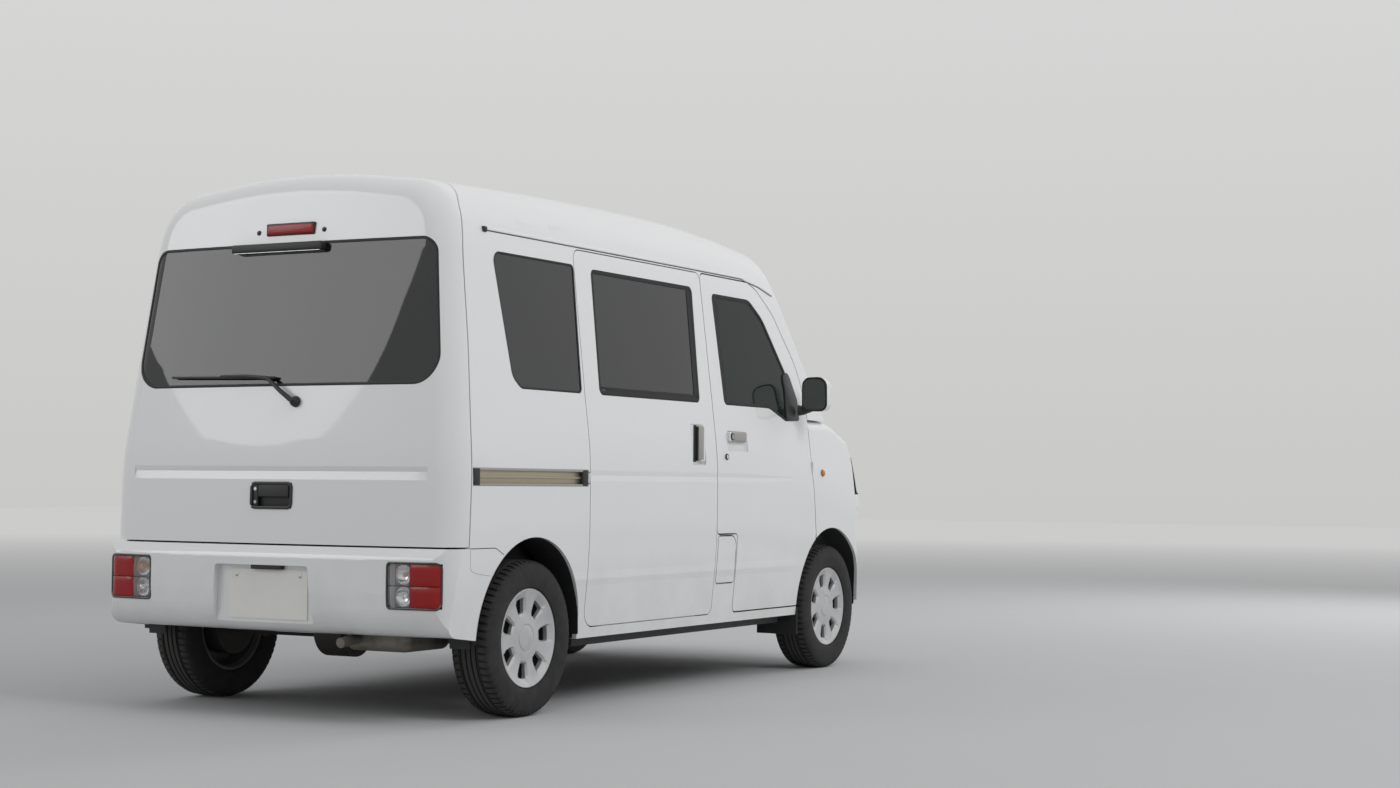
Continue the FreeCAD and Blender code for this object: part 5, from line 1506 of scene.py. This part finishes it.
class KEIVAN_OT_underside(bpy.types.Operator):
    """Adds the springs, liners, hoses, pipes, sill rails and flaps seen from below and in the arches"""
    bl_idname = "keivan.underside"
    bl_label = "Underside"

    def execute(self, context):
        for side, s in SIDES:
            coil = []
            for k in range(6 * 20 + 1):
                t = 2 * math.pi * k / 20
                coil.append((s * .370 + math.cos(t) * .052, REAR_AXLE_Y + math.sin(t) * .052,
                             .318 + .178 * k / 120))
            tube(f"rear_spring_{side}", coil, .0065, "chassis", "body", sides=8)
            foot, top = Vector((.605 * s, FRONT_AXLE_Y, .18)), Vector((.500 * s, FRONT_AXLE_Y, .78))
            axis = (top - foot).normalized()
            across = Vector((0, 1, 0))
            third = axis.cross(across)
            coil = []
            for k in range(5 * 20 + 1):
                t = 2 * math.pi * k / 20
                coil.append(foot + axis * (.400 + .105 * k / 100) + across * math.cos(t) * .058 +
                            third * math.sin(t) * .058)
            tube(f"front_spring_{side}", coil, .006, "chassis", "knuckle_" + side, sides=8)
            lathe(f"spring_seat_{side}", [(-.004, .026), (-.004, .068), (.003, .070), (.003, .026),
                                          (-.004, .026)],
                  foot + axis * .392, axis, "chassis", "knuckle_" + side, steps=32)
            for end, y in (("rear", REAR_AXLE_Y), ("front", FRONT_AXLE_Y)):
                self.liner(f"liner_{end}_{side}", s, y)
            tube(f"brake_hose_{side}", [(.40 * s, 1.16, .49), (.46 * s, 1.13, .42), (.53 * s, 1.125, .35),
                                        (.57 * s, 1.14, .31)], .005, "seal", "body", sides=8)
            tube(f"sill_pipe_{side}", [(.60915 * s, y, .318) for y in spread(-.80, .74, 8)], .005, "chassis",
                 "body", sides=8)
            block(f"flap_wing_{side}", *shifted((.530, -.936, .160), (.604, -.928, .262), s), "black", "body",
                  bevel=.002)
            block(f"sill_rail_{side}", *shifted((.606, -.86, .2135), (.664, .80, .262), s), "chassis", "body",
                  bevel=.003)
        tube("filler_pipe", [(-.69, -.25, .52), (-.60, -.16, .50), (-.50, .05, .47), (-.36, .16, .46)],
             .018, "seal", "body", sides=14)
        tube("front_pipe", [(-.12, -.45, .30), (-.20, -.20, .27), (-.30, .20, .262), (-.33, .80, .262),
                            (-.34, 1.05, .36), (-.34, 1.22, .37), (-.34, 1.31, .30)], .017, "exhaust",
             "body", sides=14)
        return {"FINISHED"}

    @staticmethod
    def liner(name, s, y0):
        """A black lining round the arch, just inside the body's edge."""
        grid = []
        for t in spread(-8, 188, 40):
            u, v = math.cos(math.radians(t)), math.sin(math.radians(t))
            row = []
            for x in (.612, .640, .668, .690):
                r = .3215 if x < .66 else .3195
                row.append((Vector((x * s, y0 + u * r, ARCH_Z + v * r)), Vector((0, u, v))))
            grid.append(row)
        return sheet_over(name, grid, .003, "black", "body")


# The studio and the camera

# fitted to the photograph
CAMERA_PLACE, CAMERA_TURN = (-4.708, 7.361, 0.792), (0.488, -1.901, 1.987)
SENSOR_WIDTH = 36.0
LIGHTS_AIM = (0, 0, 0.9)
HORIZON, ZENITH = (0.66, 0.66, 0.65), (1.0, 1.0, 1.0)
# strength of the studio's light on matt surfaces, and what is added where it is seen or mirrored
STUDIO_LIGHT, STUDIO_SEEN = 0.50, 0.30
# the floor fades into the backdrop between these distances
FLOOR_FADE = (7.0, 24.0)
FLOOR_HALF = 40


class StageSettings(bpy.types.PropertyGroup):
    floor_colour: bpy.props.FloatVectorProperty(
        name="Floor Colour", description="Colour of the floor and backdrop", subtype="COLOR", size=3,
        default=(0.52, 0.53, 0.54), min=0, max=1)
    key_power: bpy.props.FloatProperty(
        name="Key Light", description="Power of the large soft light", unit="POWER", default=350.0, min=0)
    focal_length: bpy.props.FloatProperty(
        name="Lens", description="Focal length that matches the photograph", subtype="DISTANCE_CAMERA",
        default=55.42, min=1)


def camera_matrix(place, turn):
    """The camera's matrix from its place and the turn that takes world axes to right, down, ahead."""
    turn = Vector(turn)
    to_view = Matrix.Rotation(turn.length, 3, turn.normalized())
    axes = to_view.transposed() @ Matrix(((1, 0, 0), (0, -1, 0), (0, 0, -1)))
    return Matrix.Translation(Vector(place)) @ axes.to_4x4()


def soft_light(name, place, size, power):
    """A round soft light that looks at the middle of the van."""
    data = bpy.data.lights.new(name, "AREA")
    data.shape, data.size, data.energy = "DISK", size, power
    lamp = linked(name, data)
    lamp.location = place
    lamp.rotation_euler = (Vector(LIGHTS_AIM) - Vector(place)).to_track_quat("-Z", "Y").to_euler()
    return lamp


class KEIVAN_OT_stage(bpy.types.Operator):
    """Makes the floor, the soft lights and the camera"""
    bl_idname = "keivan.stage"
    bl_label = "Stage"

    def execute(self, context):
        scene = context.scene
        settings = scene.kei_van_stage
        scene.view_settings.view_transform = "Standard"
        camera = linked("camera", bpy.data.cameras.new("camera"))
        camera.data.lens, camera.data.sensor_width = settings.focal_length, SENSOR_WIDTH
        camera.matrix_world = camera_matrix(CAMERA_PLACE, CAMERA_TURN)
        camera.data.clip_end = 200.0
        scene.camera = camera
        world = bpy.data.worlds.new("studio")
        world.use_nodes = True
        scene.world = world
        tree = world.node_tree
        ground = tree.nodes["Background"]
        coord = Wire(tree, tree.nodes.new("ShaderNodeTexCoord").outputs["Generated"])
        split = tree.nodes.new("ShaderNodeSeparateXYZ")
        connect(tree, split.inputs[0], coord)
        height = Wire(tree, split.outputs[2])
        mix = tree.nodes.new("ShaderNodeMix")
        mix.data_type = "RGBA"
        connect(tree, mix.inputs[0], height.ramp(-0.15, 0.55))
        connect(tree, mix.inputs[6], HORIZON)
        connect(tree, mix.inputs[7], ZENITH)
        tree.links.new(mix.outputs[2], ground.inputs["Color"])
        rays = tree.nodes.new("ShaderNodeLightPath")
        seen = sum((Wire(tree, rays.outputs[kind]) for kind in ("Is Glossy Ray", "Is Transmission Ray")),
                   Wire(tree, rays.outputs["Is Camera Ray"]))
        connect(tree, ground.inputs["Strength"], seen.maths("MINIMUM", 1.0) * STUDIO_SEEN + STUDIO_LIGHT)
        floor_finish = Finish("studio_floor", Roughness=0.85)
        tone = floor_finish.noise(2.5, 3.0)
        floor_finish.wear(Base_Color=floor_finish.blend(tone, settings.floor_colour,
                                                       tuple(c * 0.97 for c in settings.floor_colour)))
        x, y, _ = floor_finish.axes()
        far = (x * x + y * y).maths("SQRT").ramp(*FLOOR_FADE)
        glow = floor_finish.add("Emission", Color=(0.60, 0.60, 0.595), Strength=1.0)
        shade = floor_finish.add("MixShader", _0=far,
                                 _1=Wire(floor_finish.tree, floor_finish.shader.outputs[0]), _2=glow)
        floor_finish.tree.links.new(shade.socket, floor_finish.tree.nodes["Material Output"].inputs[0])
        mesh = bpy.data.meshes.new("floor")
        corners = [(FLOOR_HALF * a, FLOOR_HALF * b, 0) for a, b in ((-1, -1), (1, -1), (1, 1), (-1, 1))]
        mesh.from_pydata(corners, [], [[0, 1, 2, 3]])
        mesh.materials.append(floor_finish.material)
        floor = linked("floor", mesh)
        key = soft_light("key", (-9.0, 1.5, 7.5), 5.5, settings.key_power)
        soft_light("fill", (5.5, 7.5, 4.5), 5.0, settings.key_power * 0.36)
        front_fill = soft_light("front_fill", (-3.0, -8.0, 4.5), 5.0, settings.key_power * 0.6)
        # these two light the paint without showing as white patches in it
        key.visible_glossy = front_fill.visible_glossy = False
        return {"FINISHED"}


class KEIVAN_PT_pieces(bpy.types.Panel):
    """Lists the operators that build the van"""
    bl_label = "Kei Van"
    bl_idname = "KEIVAN_PT_pieces"
    bl_space_type = "VIEW_3D"
    bl_region_type = "UI"
    bl_category = "Kei Van"

    def draw(self, context):
        for operator in OPERATORS:
            self.layout.operator(operator.bl_idname)
        for name in ("floor_colour", "key_power", "focal_length"):
            self.layout.prop(context.scene.kei_van_stage, name)


OPERATORS = (KEIVAN_OT_solids, KEIVAN_OT_wheels, KEIVAN_OT_surrounds, KEIVAN_OT_side_fittings,
             KEIVAN_OT_rear_fittings, KEIVAN_OT_seats, KEIVAN_OT_cabin, KEIVAN_OT_front_fittings,
             KEIVAN_OT_mirrors, KEIVAN_OT_underside, KEIVAN_OT_stage)
CLASSES = (StageSettings, *OPERATORS, KEIVAN_PT_pieces)


def register():
    for item in CLASSES:
        bpy.utils.register_class(item)
    bpy.types.Scene.kei_van_stage = bpy.props.PointerProperty(type=StageSettings)


def unregister():
    del bpy.types.Scene.kei_van_stage
    for item in reversed(CLASSES):
        bpy.utils.unregister_class(item)


def main():
    register()
    make_finishes()
    for operator in OPERATORS:
        group, name = operator.bl_idname.split(".")
        getattr(getattr(bpy.ops, group), name)()


if __name__ == "__main__":
    main()
